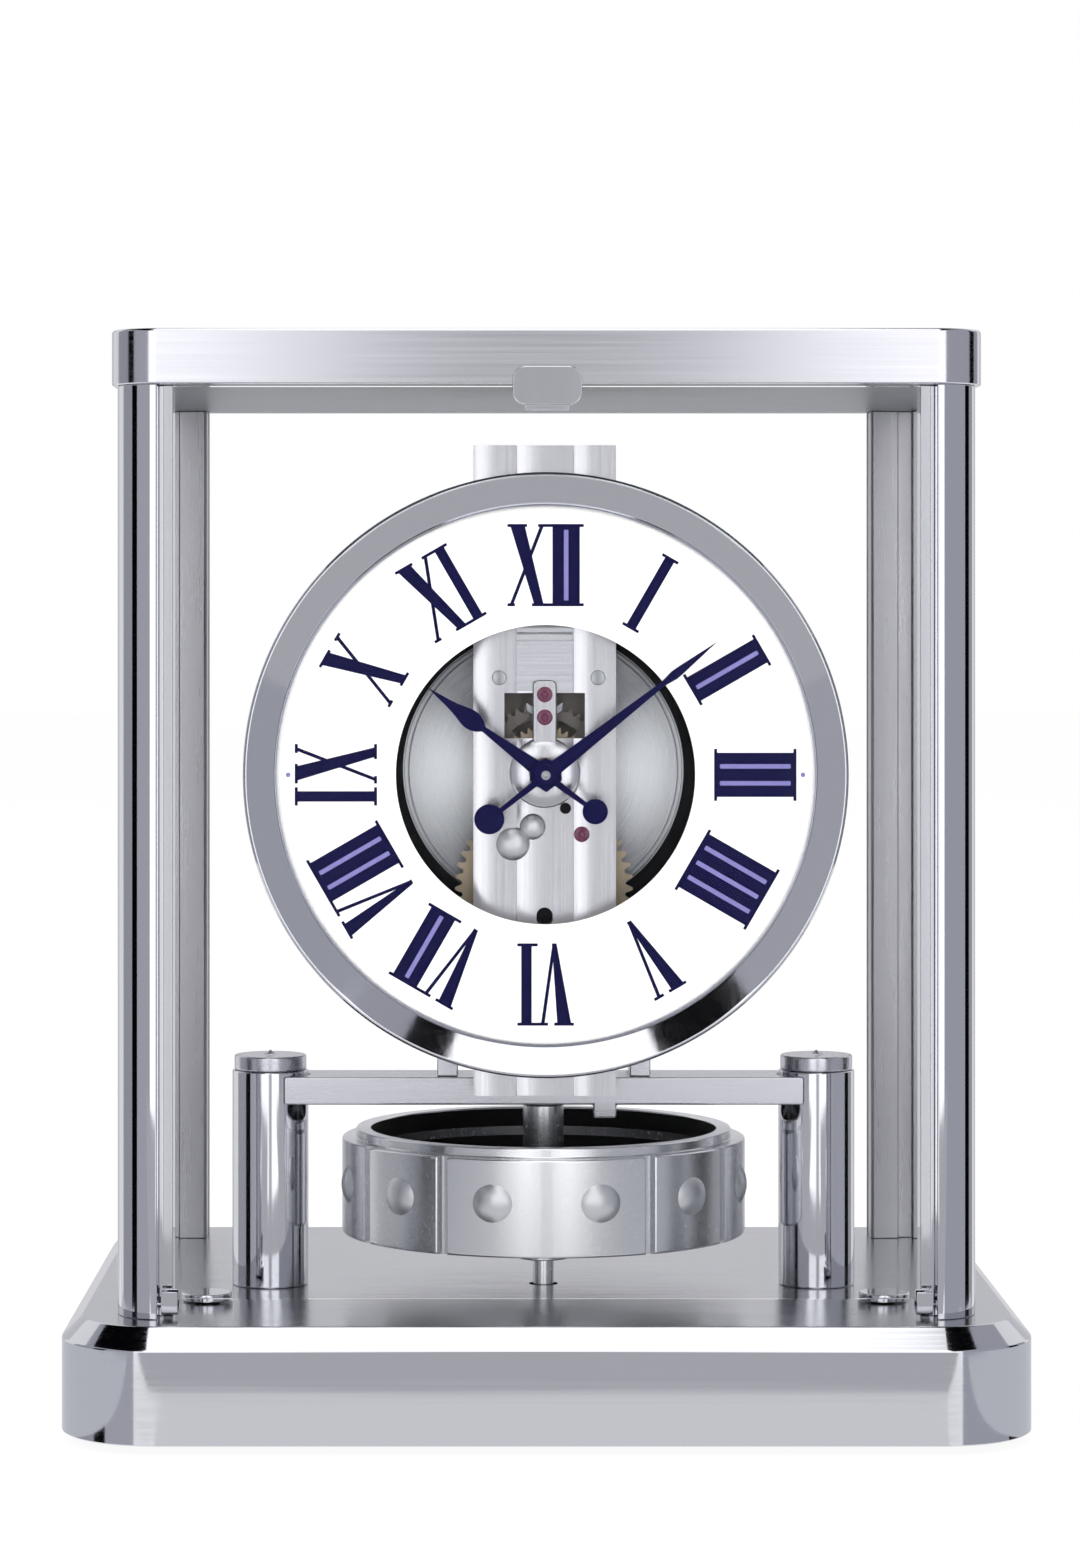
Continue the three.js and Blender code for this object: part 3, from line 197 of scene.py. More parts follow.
# each finish: its material, and the slot that every piece in it belongs to
polished, satin, steel = "polished_plate", "satin_plate", "steel"
finishes = {
    # brass posts, pillars and screws under polished rhodium: a cool mirror with faint lapping marks
    "polishedRhodium": (
        metal("polished_rhodium_plate", "#cbccd2", 0.06, (900, 900, 60), 0.02, 0.002), polished),
    # the plinth, lapped along X and then polished: a mirror softened upwards and downwards
    "lappedRhodium": (
        metal("lapped_rhodium_plate", "#cbccd2", 0.085, (14, 1500, 1500), 0.05, 0.0035), polished),
    # the cap, brushed along X on a bright ground
    "brushedCap": (metal("brushed_rhodium_cap", "#c9c9d0", 0.13, (12, 1300, 1300), 0.05, 0.004), satin),
    # the same plate, satin brushed along X: long soft highlights
    "satinAcross": (metal("satin_rhodium_across", "#c2c3ca", 0.24, (25, 1600, 1600), 0.06, 0.005), satin),
    # satin brushed upwards, on the movement's front plate
    "satinUpright": (metal("satin_rhodium_upright", "#c8c8ce", 0.2, (1400, 1400, 25), 0.05, 0.004), satin),
    # the balance ring, blasted fine before plating: a soft even sheen
    "blastedRhodium": (metal("blasted_rhodium", "#dcdde0", 0.25, (2600, 2600, 1500), 0.03, 0.0008), polished),
    # domes and weights, burnished soft: a broad highlight with no hard reflections
    "pearlRhodium": (metal("burnished_rhodium", "#d4d5d9", 0.4, (2600, 2600, 2600), 0.03, 0.0005), polished),
    # the cap's lining, a satin darkened as painted shade under the cap
    "shadedLiner": (metal("satin_liner_painted_shade", "#6f747b", 0.35, (40, 1200, 1200), 0.05, 0.004), satin),
    # the plinth's upper face, satin and greyer than its edge
    "deckRhodium": (metal("satin_rhodium_deck", "#c2c3c7", 0.22, (40, 1400, 1400), 0.05, 0.003), polished),
    # the rear posts, satin upwards and a little greyer as painted shade
    "shadedPostRhodium": (metal("satin_rhodium_posts_painted_shade", "#a3a3a8", 0.3, (1300, 1300, 30), 0.05, 0.003), polished),
    # lathe-turned rhodium on the drum's face: painted highlights, bright sectors round its middle
    "turnedRhodiumPaintedFan": (turnedMetal("turned_rhodium_painted_fan", "#95979c", "#c9ccd0", 0.3, 0.6), satin),
    # lacquered brass, fine grained from the lathe
    "lacqueredBrass": (metal("lacquered_brass", "#d3b67c", 0.22, (600, 600, 600), 0.05, 0.004), "brass"),
    # brass darkened to grey brown as painted shade
    "shadedBrass": (metal("brass_painted_shade", "#958a78", 0.32, (600, 600, 600), 0.06, 0.004), "brass"),
    # turned steel, a little darker and rougher
    "turnedSteel": (metal("turned_steel", "#9b9da3", 0.22, (900, 900, 900), 0.06, 0.004), steel),
    # the train's back plate and the wheels in the window: dull grey with a brown cast, darkened as painted
    # shade
    "shadedNickel": (metal("nickel_painted_shade", "#6c6866", 0.4, (300, 300, 300), 0.08, 0.006, 0.3), satin),
    # blackened steel on the screws sunk in the plate; black as painted shade round the drum's face and in the
    # ring's bore
    "blackenedSteelAndShade": (metal("blackened_steel_and_painted_shade", "#1b1b1e", 0.35, (500, 500, 500), 0.08, 0.004), steel),
    # navy enamel on the hands and the numerals, nearly black
    "navyEnamel": (enamel("navy_enamel", "#0c0b3a", "#09082c", 0.3, 900.0, gloss=0.06), "hand_enamel"),
    # thin lilac printed lines between the numerals' strokes
    "lilacPrint": (enamel("lilac_print", "#7f7bb0", "#6c68a0", 0.5, 900.0, gloss=0.1), "dial_enamel"),
    # off-white lacquer on the dial, slightly eggshell
    "dialLacquer": (enamel("off_white_lacquer", "#f4f4f2", "#f0f0ee", 0.45, 260.0), "dial_enamel"),
    # synthetic ruby bearings
    "rubyJewel": (enamel("ruby_jewel", "#642c48", "#4a1e36", 0.15, 500.0, 0.3), None),
    # the feet
    "mouldedRubber": (enamel("moulded_rubber", "#242426", "#1c1c1e", 0.75, 1500.0), "foot_rubber"),
    "paneGlass": (floatGlass("float_glass", "#ffffff"), "pane_glass"),
}
print("materials made:", len(finishes))


def softened(profile, radius, steps=5):
    # rounds a polyline's inner corners: each becomes a short parabola between points at most radius away
    points = [np.array(p, float) for p in profile]
    radii = radius if isinstance(radius, (list, tuple)) else [radius] * len(points)
    result = [points[0]]
    for before, corner, after, reach in zip(points[:-2], points[1:-1], points[2:], radii[1:-1]):
        toBefore, toAfter = before - corner, after - corner
        cut = min(reach, 0.45 * np.linalg.norm(toBefore), 0.45 * np.linalg.norm(toAfter))
        if cut < 1e-6:
            result.append(corner)
            continue
        start = corner + cut * toBefore / np.linalg.norm(toBefore)
        end = corner + cut * toAfter / np.linalg.norm(toAfter)
        for t in np.linspace(0, 1, steps):
            result.append((1 - t) ** 2 * start + 2 * t * (1 - t) * corner + t ** 2 * end)
    return np.array([*result, points[-1]])


def rod(radius, low, high, edge=0.0, core=0.01):
    # the profile of a plain round bar with softened edges
    return softened([(core, low), (radius, low), (radius, high), (core, high)], edge)


def rectangle(left, right, low, high):
    return [(left, low), (right, low), (right, high), (left, high)]


def lofted(rings, closed=False):
    # outlines of equal count joined in order, with flat ends unless the last meets the first; the faces are
    # turned over if the signed volume, a sum of triple products, is below zero
    rings = np.array(rings, float)
    rows, count = rings.shape[:2]
    points = rings.reshape(-1, 3)
    row, column = np.arange(rows if closed else rows - 1)[:, None], np.arange(count)[None, :]
    nextRow, nextColumn = (row + 1) % rows, (column + 1) % count
    faces = np.stack([row * count + column, row * count + nextColumn, nextRow * count + nextColumn,
                      nextRow * count + column], axis=-1).reshape(-1, 4).tolist()
    if not closed:
        faces += [list(range(count))[::-1], list(range((rows - 1) * count, rows * count))]
    volume = 0.0
    for face in faces:
        corners = points[face]
        first = np.repeat(corners[:1], len(face) - 2, 0)
        volume += np.einsum("ij,ij->", np.cross(corners[1:-1], corners[2:]), first)
    return points, [face[::-1] for face in faces] if volume < 0 else faces


def turned(profile, centre, axis="Z", count=96):
    # a profile of (radius, along) carried round an axis: x = r cos t, y = r sin t, or z = r sin t round Y
    profile = np.array(profile, float)
    closed = np.allclose(profile[0], profile[-1])
    if closed:
        profile = profile[:-1]
    angle = np.linspace(0, 2 * np.pi, count, endpoint=False)
    radius, along = profile[:, :1], profile[:, 1:]
    across, other, level = radius * np.cos(angle), radius * np.sin(angle), along + 0 * angle
    stack = (across, other, level) if axis == "Z" else (across, level, other)
    return lofted(np.stack(stack, axis=-1) + np.array(centre, float), closed)


def dialTurned(profile, count, x=0.0, z=0.0):
    # a profile of (radius, y) carried round the dial's axis, or round one beside it
    return turned(profile, (x, 0, dialZ + z), "Y", count)


def prism(outline, low, high, axis="Z"):
    # an outline (u, v) drawn along an axis: Z uses (x, y), Y uses (x, z) and X uses (y, z)
    outline = np.array(outline, float)
    u, v = outline[:, 0], outline[:, 1]
    rings = []
    for level in (low, high):
        w = np.full(len(outline), float(level))
        rings.append(np.stack({"Z": (u, v, w), "Y": (u, w, v), "X": (w, u, v)}[axis], axis=-1))
    return lofted(rings)


def arc(cx, cy, radius, start, end, steps):
    # points of a circle from one angle to another, in degrees
    angle = np.radians(np.linspace(start, end, steps + 1))
    return np.stack([cx + radius * np.cos(angle), cy + radius * np.sin(angle)], axis=-1)


def trayShell(profile, size, corner, steps=24):
    # an (inset, z) profile carried round a rounded rectangle; the corner's radius shrinks with the inset
    rings = []
    for inset, z in profile:
        radius = corner - inset
        x, y = size[0] / 2 - inset - radius, size[1] / 2 - inset - radius
        outline = np.concatenate([
            arc(x, -y, radius, -90, 0, steps), arc(x, y, radius, 0, 90, steps),
            arc(-x, y, radius, 90, 180, steps), arc(-x, -y, radius, 180, 270, steps)])
        rings.append(np.column_stack([outline, np.full(len(outline), z)]))
    return lofted(rings)


def cutAway(piece, cutter):
    # takes one closed part away from a piece for good
    tool = addMesh("cutter", *cutter)
    change = piece.modifiers.new("cut", "BOOLEAN")
    change.operation, change.solver, change.object = "DIFFERENCE", "EXACT", tool
    evaluated = piece.evaluated_get(bpy.context.evaluated_depsgraph_get())
    result = bpy.data.meshes.new_from_object(evaluated)
    piece.modifiers.clear()
    piece.data = result
    bpy.data.objects.remove(tool)


def finishPiece(piece, finish, replaces=None, body="case", bevel=0.0, bevelSteps=2, sharp=32):
    # a piece that stands for a CAD node rides that node's body
    material, slot = finishes[finish]
    mesh = piece.data
    mesh.polygons.foreach_set("use_smooth", np.ones(len(mesh.polygons), bool))
    mesh.set_sharp_from_angle(angle=math.radians(sharp))
    mesh.materials.clear()
    mesh.materials.append(material)
    if bevel:
        edge = piece.modifiers.new("edges", "BEVEL")
        edge.width, edge.segments = bevel * mm, bevelSteps
        edge.limit_method, edge.angle_limit = "ANGLE", math.radians(sharp)
        edge.harden_normals = False
    weighted = piece.modifiers.new("flats", "WEIGHTED_NORMAL")
    weighted.keep_sharp = not bevel
    weighted.weight = 90
    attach(piece, bodyOf.get(replaces, body))
    if replaces:
        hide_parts(replaces)
    return piece


def makePiece(name, parts, finish, replaces=None, body="case", cuts=(), **edges):
    # one object from closed parts, each (points, faces); its place is in its mesh
    points, faces, start = [], [], 0
    for partPoints, partFaces in parts:
        points.append(partPoints)
        faces += [[index + start for index in face] for face in partFaces]
        start += len(partPoints)
    piece = addMesh(name, np.concatenate(points), faces)
    piece.data.validate()
    for cutter in cuts:
        cutAway(piece, cutter)
    return finishPiece(piece, finish, replaces, body, **edges)


def dressedCopy(nodeName, finish, bevel, name=None):
    # the CAD node's own shape with its triangles merged into flats, ready for rounded edges
    source = bmesh.new()
    source.from_mesh(nodes[nodeName].data)
    bmesh.ops.remove_doubles(source, verts=source.verts, dist=1e-6)
    bmesh.ops.dissolve_limit(source, angle_limit=math.radians(1), verts=source.verts, edges=source.edges)
    mesh = bpy.data.meshes.new(name or nodeName + "_dressed")
    source.to_mesh(mesh)
    source.free()
    return finishPiece(addObject(mesh.name, mesh), finish, nodeName, bevel=bevel, sharp=28)


def fieldOf(items, field, kind, width=1):
    # one field of all the items, as an array
    values = np.empty(len(items) * width, kind)
    items.foreach_get(field, values)
    return values


def turnUv(piece):
    # UV map "turned", about the dial's axis: u goes round it, v is ten times the radius in metres
    mesh = piece.data
    layer = mesh.uv_layers.new(name="turned")
    place = fieldOf(mesh.vertices, "co", float, 3).reshape(-1, 3) / mm
    corner = fieldOf(mesh.loops, "vertex_index", int)
    starts, totals = [fieldOf(mesh.polygons, field, int) for field in ("loop_start", "loop_total")]
    x, z = place[:, 0], place[:, 2] - dialZ
    turn = (np.arctan2(z, x) / (2 * np.pi))[corner]
    turn = turn + np.round(np.repeat(turn[starts], totals) - turn)
    layer.data.foreach_set("uv", np.stack([turn, np.hypot(x, z)[corner] * mm * 10], axis=-1).ravel())


plinthLow, plinthHigh = nodeBox("base_plinth")
plinthTop = plinthHigh[2]
standY = float(np.mean([corner[1] for corner in nodeBox("balance_ring")]))
plinth = {"bevel": 4.3, "corner": 20.0, "wall": 3.0, "edge": 0.3, "staffHole": 3.2, "screwHole": 2.8,
          "cornerSteps": 28}
levelBox = {side: nodeBox("level_screw_" + side) for side in ("left", "right")}
levelCentre = {side: (low + high) / 2 for side, (low, high) in levelBox.items()}
leverLow, leverHigh = nodeBox("lock_lever")


def plinthShell():
    # from the ceiling's edge, down inside, up outside and over the bevel
    low, bevel, wall = plinthLow[2], plinth["bevel"], plinth["wall"]
    shoulder = plinthTop - bevel
    profile = softened([
        (bevel + wall + 1, plinthTop - wall), (bevel + wall, plinthTop - wall), (wall, shoulder - wall),
        (wall, low), (0, low), (0, shoulder), (bevel, plinthTop), (bevel + 1.2, plinthTop)], plinth["edge"])
    return trayShell(profile, plinthHigh - plinthLow, plinth["corner"], plinth["cornerSteps"])


hole, screwHole = plinth["staffHole"], plinth["screwHole"]
slotLeft = -(plinthHigh[1] - standY) * math.sin(math.radians(20)) - 4  # the lever turns 20 degrees
cuts = [turned([(screwHole, plinthTop - 6), (screwHole, plinthTop + 1)], (*centre[:2], 0), count=32)
        for centre in levelCentre.values()]
cuts.append(turned([(hole, plinthTop - plinth["wall"] - 1), (hole, plinthTop + 1)], (0, standY, 0), count=64))
cuts.append(prism(rectangle(slotLeft, 4, plinthHigh[1] - 4, plinthHigh[1] + 1), leverLow[2] - 0.3,
                  leverHigh[2] + 0.3))
shell = makePiece("plinth_shell", [plinthShell()], "lappedRhodium", "base_plinth", cuts=cuts)
shell.data.materials.append(finishes["deckRhodium"][0])
for face in shell.data.polygons:
    if face.normal.z > 0.95 and face.center.z > (plinthTop - 0.2) * mm:
        face.material_index = 1

foot = {"radius": 7.0, "edge": 0.5}
low, high = nodeBox("rear_foot")
makePiece("rubber_foot", [turned(rod(foot["radius"], low[2], high[2], foot["edge"], 0),
                                 (*((low + high) / 2)[:2], 0), count=64)], "mouldedRubber", "rear_foot")

levelScrew = {"pad": 7.0, "shank": 2.5, "head": 5.4, "headHeight": 2.0, "gap": 0.3, "rim": 0.35}
for side, centre in levelCentre.items():
    low, high = levelBox[side][0][2], levelBox[side][1][2]
    headLow, padTop = high - levelScrew["headHeight"], plinthLow[2] - levelScrew["gap"]
    profile = softened([
        (0, low), (levelScrew["pad"], low), (levelScrew["pad"], padTop), (levelScrew["shank"], padTop),
        (levelScrew["shank"], headLow), (levelScrew["head"], headLow), (levelScrew["head"], high), (0, high)],
        levelScrew["rim"])
    makePiece("levelling_screw_" + side, [turned(profile, (*centre[:2], 0), count=72)], "polishedRhodium",
              "level_screw_" + side)
print("plinth made")


post = {"round": 9.0, "chamfer": 0.6, "paneInset": 2.3, "pane": 3.0, "bite": 1.8, "play": 0.2, "edge": 0.25,
        "rebate": 3.0, "rebateDepth": 4.8}


def postOutline(size, isRear):
    # plan of a post whose outer corner points to +X +Y: quarter round, the side pane's groove, and the rear
    # pane's groove or the front pane's step
    half = size / 2
    high = half - post["paneInset"] + post["play"]
    low = high - post["pane"] - 2 * post["play"]
    depth, chamfer = post["bite"], post["chamfer"]
    inner = half - post["round"]
    if isRear:
        step = [(-half + chamfer, half), (-half, half - chamfer), (-half, high), (-half + depth, high),
                (-half + depth, low), (-half, low)]
    else:
        step = [(-half + post["rebate"], half - post["rebateDepth"]), (-half, half - post["rebateDepth"])]
    side = [(low, -half), (low, -half + depth), (high, -half + depth), (high, -half)]
    return np.array([*arc(inner, inner, post["round"], 0, 90, 28), *step, (-half, -half + chamfer),
                     (-half + chamfer, -half), *side, (half, -half)])


# the rear posts take a greyer finish as painted shade
for end, signY, finish in (("front", -1, "polishedRhodium"), ("rear", 1, "shadedPostRhodium")):
    for side, signX in (("left", -1), ("right", 1)):
        name = f"post_{end}_{side}"
        low, high = nodeBox(name)
        outline = postOutline(high[0] - low[0], end == "rear") * (signX, signY) + ((low + high) / 2)[:2]
        makePiece(f"corner_{name}", [prism(outline, low[2], high[2])], finish, name, bevel=post["edge"],
                  sharp=20)

cap = {"corner": 10.2, "wall": 3.0, "topEdge": 0.8, "lowEdge": 0.4}
capLow, capHigh = nodeBox("top_cap")
ceiling = capHigh[2] - cap["wall"]
capProfile = softened([  # from inside, round the rim, up the side and over the top edge
    (cap["wall"] + 1, ceiling), (cap["wall"], ceiling), (cap["wall"], capLow[2]), (0, capLow[2]),
    (0, capHigh[2]), (3.0, capHigh[2])], [0, 0.3, 0.3, cap["lowEdge"], cap["topEdge"], 0], 7)
makePiece("case_cap", [trayShell(capProfile, capHigh - capLow, cap["corner"])], "brushedCap", "top_cap")
# the cap's lining, darkened as painted shade
dressedCopy("cap_liner", "shadedLiner", 0.2)
for pane in ("glass_left", "glass_right", "glass_rear", "front_glass"):
    dressedCopy(pane, "paneGlass", 0.35, pane.replace("glass", "pane"))
for clip in ("door_clip_left", "door_clip_right", "door_catch"):
    dressedCopy(clip, "polishedRhodium", 0.2)
print("case made")


pillar = {"radius": 8.35, "footEdge": 0.4, "capRadius": 7.9, "capEdge": 0.5, "peakRadius": 1.6, "peak": 1.0}
for side in ("left", "right"):
    low, high = nodeBox("pillar_" + side)
    centre = (*((low + high) / 2)[:2], 0)
    shaft = rod(pillar["radius"], low[2], high[2], pillar["footEdge"], 0)
    makePiece("stand_pillar_" + side, [turned(shaft, centre, count=128)], "polishedRhodium", "pillar_" + side)
    low, high = nodeBox("pillar_cap_" + side)
    shoulder = high[2] - pillar["peak"]
    profile = softened([(0, low[2]), (pillar["capRadius"], low[2]), (pillar["capRadius"], shoulder),
                        (pillar["peakRadius"], shoulder), (0.01, high[2])], pillar["capEdge"])
    makePiece("stand_cap_" + side, [turned(profile, centre)], "satinAcross", "pillar_cap_" + side)
dressedCopy("bridge_bar", "satinAcross", 0.4)
print("stand made")


dialLow, dialHigh = nodeBox("dial_ring")
dialZ, dialFront = float((dialLow + dialHigh)[2] / 2), float(dialLow[1])
plateFront = float(nodeBox("movement_plate")[0][1])
dial = {"hole": 31.9, "radius": 57.6, "sheet": 1.2, "edge": 0.2, "footRadius": 2.5, "feet": (10.0, 44.0)}
back = dialFront + dial["sheet"]
ringFace = softened([
    (dial["hole"], back), (dial["hole"], dialFront), (dial["radius"], dialFront), (dial["radius"], back),
    (dial["hole"], back)], dial["edge"])
dialParts = [dialTurned(ringFace, 160)]
for x in (-dial["feet"][0], dial["feet"][0]):
    for z in (-dial["feet"][1], dial["feet"][1]):
        dialParts.append(dialTurned(rod(dial["footRadius"], back - 0.3, plateFront), 32, x, z))
makePiece("dial_face", dialParts, "dialLacquer", "dial_ring")

bezel = {"inner": 57.1, "seat": 57.9, "outer": 64.4, "skirt": 3.2, "rise": 3.0, "lipGap": 0.3,
         "slope": (58.0, 63.8), "slopeSteps": 12}
crown = dialFront - bezel["rise"]
lipBack = dialFront - bezel["lipGap"]
slope = np.linspace((bezel["slope"][0], lipBack - 0.45), (bezel["slope"][1], crown), bezel["slopeSteps"])
bezelProfile = softened([  # its front is one flat cone that faces inwards
    (bezel["seat"], lipBack), (bezel["inner"], lipBack), (bezel["inner"], lipBack - 0.75),
    (57.35, lipBack - 0.75), (57.65, lipBack - 0.1), *slope, (bezel["outer"], crown + 0.5),
    (bezel["outer"], dialFront + bezel["skirt"]), (bezel["seat"], dialFront + bezel["skirt"]),
    (bezel["seat"], lipBack)], [0, 0.05, 0.1, 0.1, 0.05, 0.1] + [0] * 10 + [0.25, 0.4, 0.3, 0.3, 0], 5)
makePiece("dial_bezel", [dialTurned(bezelProfile, 192)], "polishedRhodium", "bezel")

numerals = {"inner": 35.9, "outer": 53.4, "stroke": 2.2, "pitch": 3.6, "serif": 0.62, "lift": 0.1,
            "over": 0.85, "gap": 1.3, "lilac": 0.95, "dots": 54.8}
letters = {
    # across from the letter's left end: each stroke at its outer and its inner end, then the serifs there
    "X": {"thick": [(0.5, 3.6), (5.8, 7.8)], "thin": [(7.1, 7.9), (0.35, 1.1)],
          "outside": [(0, 4.2), (6.5, 8.4)], "inside": [(0, 1.6), (5.2, 8.4)], "width": 8.2},
    "V": {"thick": [(0.5, 3.5), (3.7, 4.7)], "thin": [(6.3, 7.05), (3.9, 4.55)],
          "outside": [(0, 4.2), (5.5, 7.8)], "inside": [], "width": 7.6},
}
romans = ["XII", "I", "II", "III", "IIII", "V", "VI", "VII", "VIII", "IX", "X", "XI"]


def strokesOf(word):
    # outlines (u across, v outward) of one numeral's strokes, serifs and lilac lines, centred on u = 0
    inner, outer, half = numerals["inner"], numerals["outer"], numerals["stroke"] / 2
    serif, over, lilacHalf = numerals["serif"], numerals["over"], numerals["lilac"] / 2
    dark, lilac, cursor = [], [], 0.0
    runs = []
    for letter in word:
        if runs and letter == "I" and runs[-1][0] == "I":
            runs[-1][1] += 1
        else:
            runs.append([letter, 1])
    for place, (letter, count) in enumerate(runs):
        if letter == "I":
            joined = place > 0
            first = cursor + half + (0.1 if joined else over)
            last = first + (count - 1) * numerals["pitch"]
            dark.append(rectangle(first - half, last + half, inner, outer))
            for k in range(count - 1):
                centre = first + (k + 0.5) * numerals["pitch"]
                lilac.append(rectangle(centre - lilacHalf, centre + lilacHalf, inner + 2 * serif,
                                       outer - 2 * serif))
            for low in (inner, outer - serif):
                dark.append(rectangle(cursor - (1.2 if joined else 0), last + half + over, low, low + serif))
            cursor = last + half + over + numerals["gap"] - 0.5
            continue
        shape = letters[letter]
        for outside, inside in (shape["thick"], shape["thin"]):
            dark.append([(cursor + inside[0], inner), (cursor + inside[1], inner),
                         (cursor + outside[1], outer), (cursor + outside[0], outer)])
        for end, low in (("outside", outer - serif), ("inside", inner)):
            dark += [rectangle(cursor + left, cursor + right, low, low + serif) for left, right in shape[end]]
        cursor += shape["width"] + numerals["gap"]
    across = [u for part in dark for u, _ in part]
    shift = (min(across) + max(across)) / 2
    return [[[(u - shift, v) for u, v in part] for part in parts] for parts in (dark, lilac)]


def onDial(outline, turn):
    # turns (u, v) clockwise from twelve: x = u cos a + v sin a, z = v cos a - u sin a
    u, v = np.array(outline, float).T
    a = math.radians(turn)
    return np.stack([u * math.cos(a) + v * math.sin(a), dialZ + v * math.cos(a) - u * math.sin(a)], axis=-1)


darkParts, lilacParts = [], []
for hour, word in enumerate(romans):
    dark, lilac = strokesOf(word)
    for index, outline in enumerate(dark):
        lift = numerals["lift"] + 0.004 * index  # so that no two faces share a plane
        darkParts.append(prism(onDial(outline, 30 * hour), dialFront - lift, dialFront + 0.05, "Y"))
    for outline in lilac:
        lilacFront = dialFront - numerals["lift"] - 0.09
        lilacParts.append(prism(onDial(outline, 30 * hour), lilacFront, dialFront, "Y"))
for x in (-numerals["dots"], numerals["dots"]):
    lilacParts.append(dialTurned([
        (0.01, dialFront - 0.2), (0.35, dialFront - 0.2), (0.5, dialFront - 0.1), (0.5, dialFront + 0.05),
        (0.01, dialFront + 0.05)], 24, x))
makePiece("numerals", darkParts, "navyEnamel")
makePiece("numeral_lines", lilacParts, "lilacPrint")

hands = {"boss": 2.95, "root": 1.6, "waist": 0.52, "bore": 1.3, "edge": 0.12, "nut": 2.3, "nutRise": 0.55,
         "pin": 0.55}
handShapes = {
    "minute": {"turn": 52.1, "tail": 15.2, "disc": 3.2,
               "head": [(0.55, 31.5), (1.0, 34.6), (0.9, 36.4), (0, 46.3)]},
    "hour": {"turn": -53.5, "tail": 13.1, "disc": 2.7,
             "head": [(0.6, 16.4), (1.4, 17.3), (1.95, 18.6), (2.1, 19.6), (2.0, 20.8), (1.6, 22.2),
                      (1.1, 24.0), (0.75, 26.0), (0, 31.4)]},
}
for name, shape in handShapes.items():
    low, high = nodeBox(name + "_hand")
    opening = math.degrees(math.asin(hands["waist"] / shape["disc"]))
    disc = arc(0, -shape["tail"], shape["disc"], 90 + opening, 450 - opening, 44)
    right = [(hands["waist"] + 0.2, -hands["boss"]), (hands["boss"], -hands["boss"] * 0.7),
             (hands["boss"], hands["boss"] * 0.7), (hands["root"], hands["boss"]), *shape["head"]]
    left = [(-u, v) for u, v in reversed(right) if u != 0]
    outline = onDial(np.array([*disc, *right, *left]), shape["turn"])
    bore = dialTurned([(hands["bore"], low[1] - 1), (hands["bore"], high[1] + 1)], 32)
    makePiece(name + "_pointer", [prism(outline, low[1], high[1], "Y")], "navyEnamel", name + "_hand",
              cuts=[bore], bevel=hands["edge"], sharp=40)
handFront = float(nodeBox("minute_hand")[0][1])
nutFront = handFront - hands["nutRise"]
makePiece("hand_nut", [dialTurned(rod(hands["nut"], handFront + 0.3, nutFront, 0.2), 48)], "navyEnamel",
          body="minute_work")
pin = [(0.01, nutFront + 0.2), (hands["pin"], nutFront + 0.2), (hands["pin"], nutFront - 0.1),
       (0.01, nutFront - 0.25)]
makePiece("hand_pin", [dialTurned(pin, 24)], "turnedSteel", body="minute_work")
print("dial and hands made")


# arbor, setHole and stud start with their height from the dial's middle; their radius follows
plate = {"half": 15.4, "middle": 6.2, "step": 0.8, "crown": 0.45, "middleCrown": 0.4, "skin": 0.95,
         "window": (8.7, 7.4, 17.2), "arbor": (-25.0, 1.9), "setHole": (-31.5, 1.8),
         "stud": (-12.0, 1.0, 4.7), "pipeHole": 3.2, "bandGap": 0.05}
plateLow, plateHigh = nodeBox("movement_plate")
plateBack = plateFront + 2.5


def bandFace(left, right, face, crown):
    # one band's face in plan: it falls back by crown times (1 - t) to the power 5, t going left to right
    t = np.linspace(0, 1, 18)
    return np.column_stack([left + (right - left) * t, face + crown * (1 - t) ** 5])


def plateHole(radius, z=0.0, front=plateFront - 1):
    return dialTurned([(radius, front), (radius, plateBack + 1)], 32, z=z)


half, middle, bandGap = plate["half"], plate["middle"], plate["bandGap"]
section = np.concatenate([
    [(-half, plateBack)], bandFace(-half, -middle - bandGap, plateFront, plate["crown"]),
    bandFace(-middle + bandGap, middle - bandGap, plateFront + plate["step"], plate["middleCrown"]),
    bandFace(middle + bandGap, half, plateFront, plate["crown"]), [(half, plateBack)]])
half, windowLow, windowHigh = plate["window"]
window = prism(rectangle(-half, half, dialZ + windowLow, dialZ + windowHigh), plateFront - 1,
               plateBack + 1, "Y")
blind = plateHole(plate["arbor"][1], plate["arbor"][0], plateFront + plate["skin"])
setHole = plateHole(plate["setHole"][1], plate["setHole"][0])
makePiece("front_plate", [prism(section, plateLow[2], plateHigh[2])], "satinUpright", "movement_plate",
          cuts=[window, blind, setHole, plateHole(plate["pipeHole"])], sharp=30)
studZ, studRadius, studLength = plate["stud"]
stud = rod(studRadius, plateBack - 0.5, plateBack + studLength + 0.3)
makePiece("minute_stud", [dialTurned(stud, 32, z=studZ)], "turnedSteel")

# a block on the middle band above the window, turned across in shallow flutes
block = {"low": 17.6, "high": 40.0, "flutes": 14, "dip": 0.07, "half": 6.0, "proud": 0.5}
rise = np.linspace(block["low"], block["high"], 141)
blockHeight = block["high"] - block["low"]
dip = block["dip"] * np.abs(np.sin(np.pi * block["flutes"] * (rise - block["low"]) / blockHeight))
fluteFace = plateFront + plate["step"] - block["proud"] + block["dip"] - dip
side = np.concatenate([np.column_stack([fluteFace, dialZ + rise]),
                       [(plateFront + 2.0, dialZ + block["high"]), (plateFront + 2.0, dialZ + block["low"])]])
makePiece("fluted_block", [prism(side, -block["half"], block["half"], "X")], "satinAcross", sharp=35)
# the train's back plate, darkened as painted shade
dressedCopy("train_plate", "shadedNickel", 0.2)

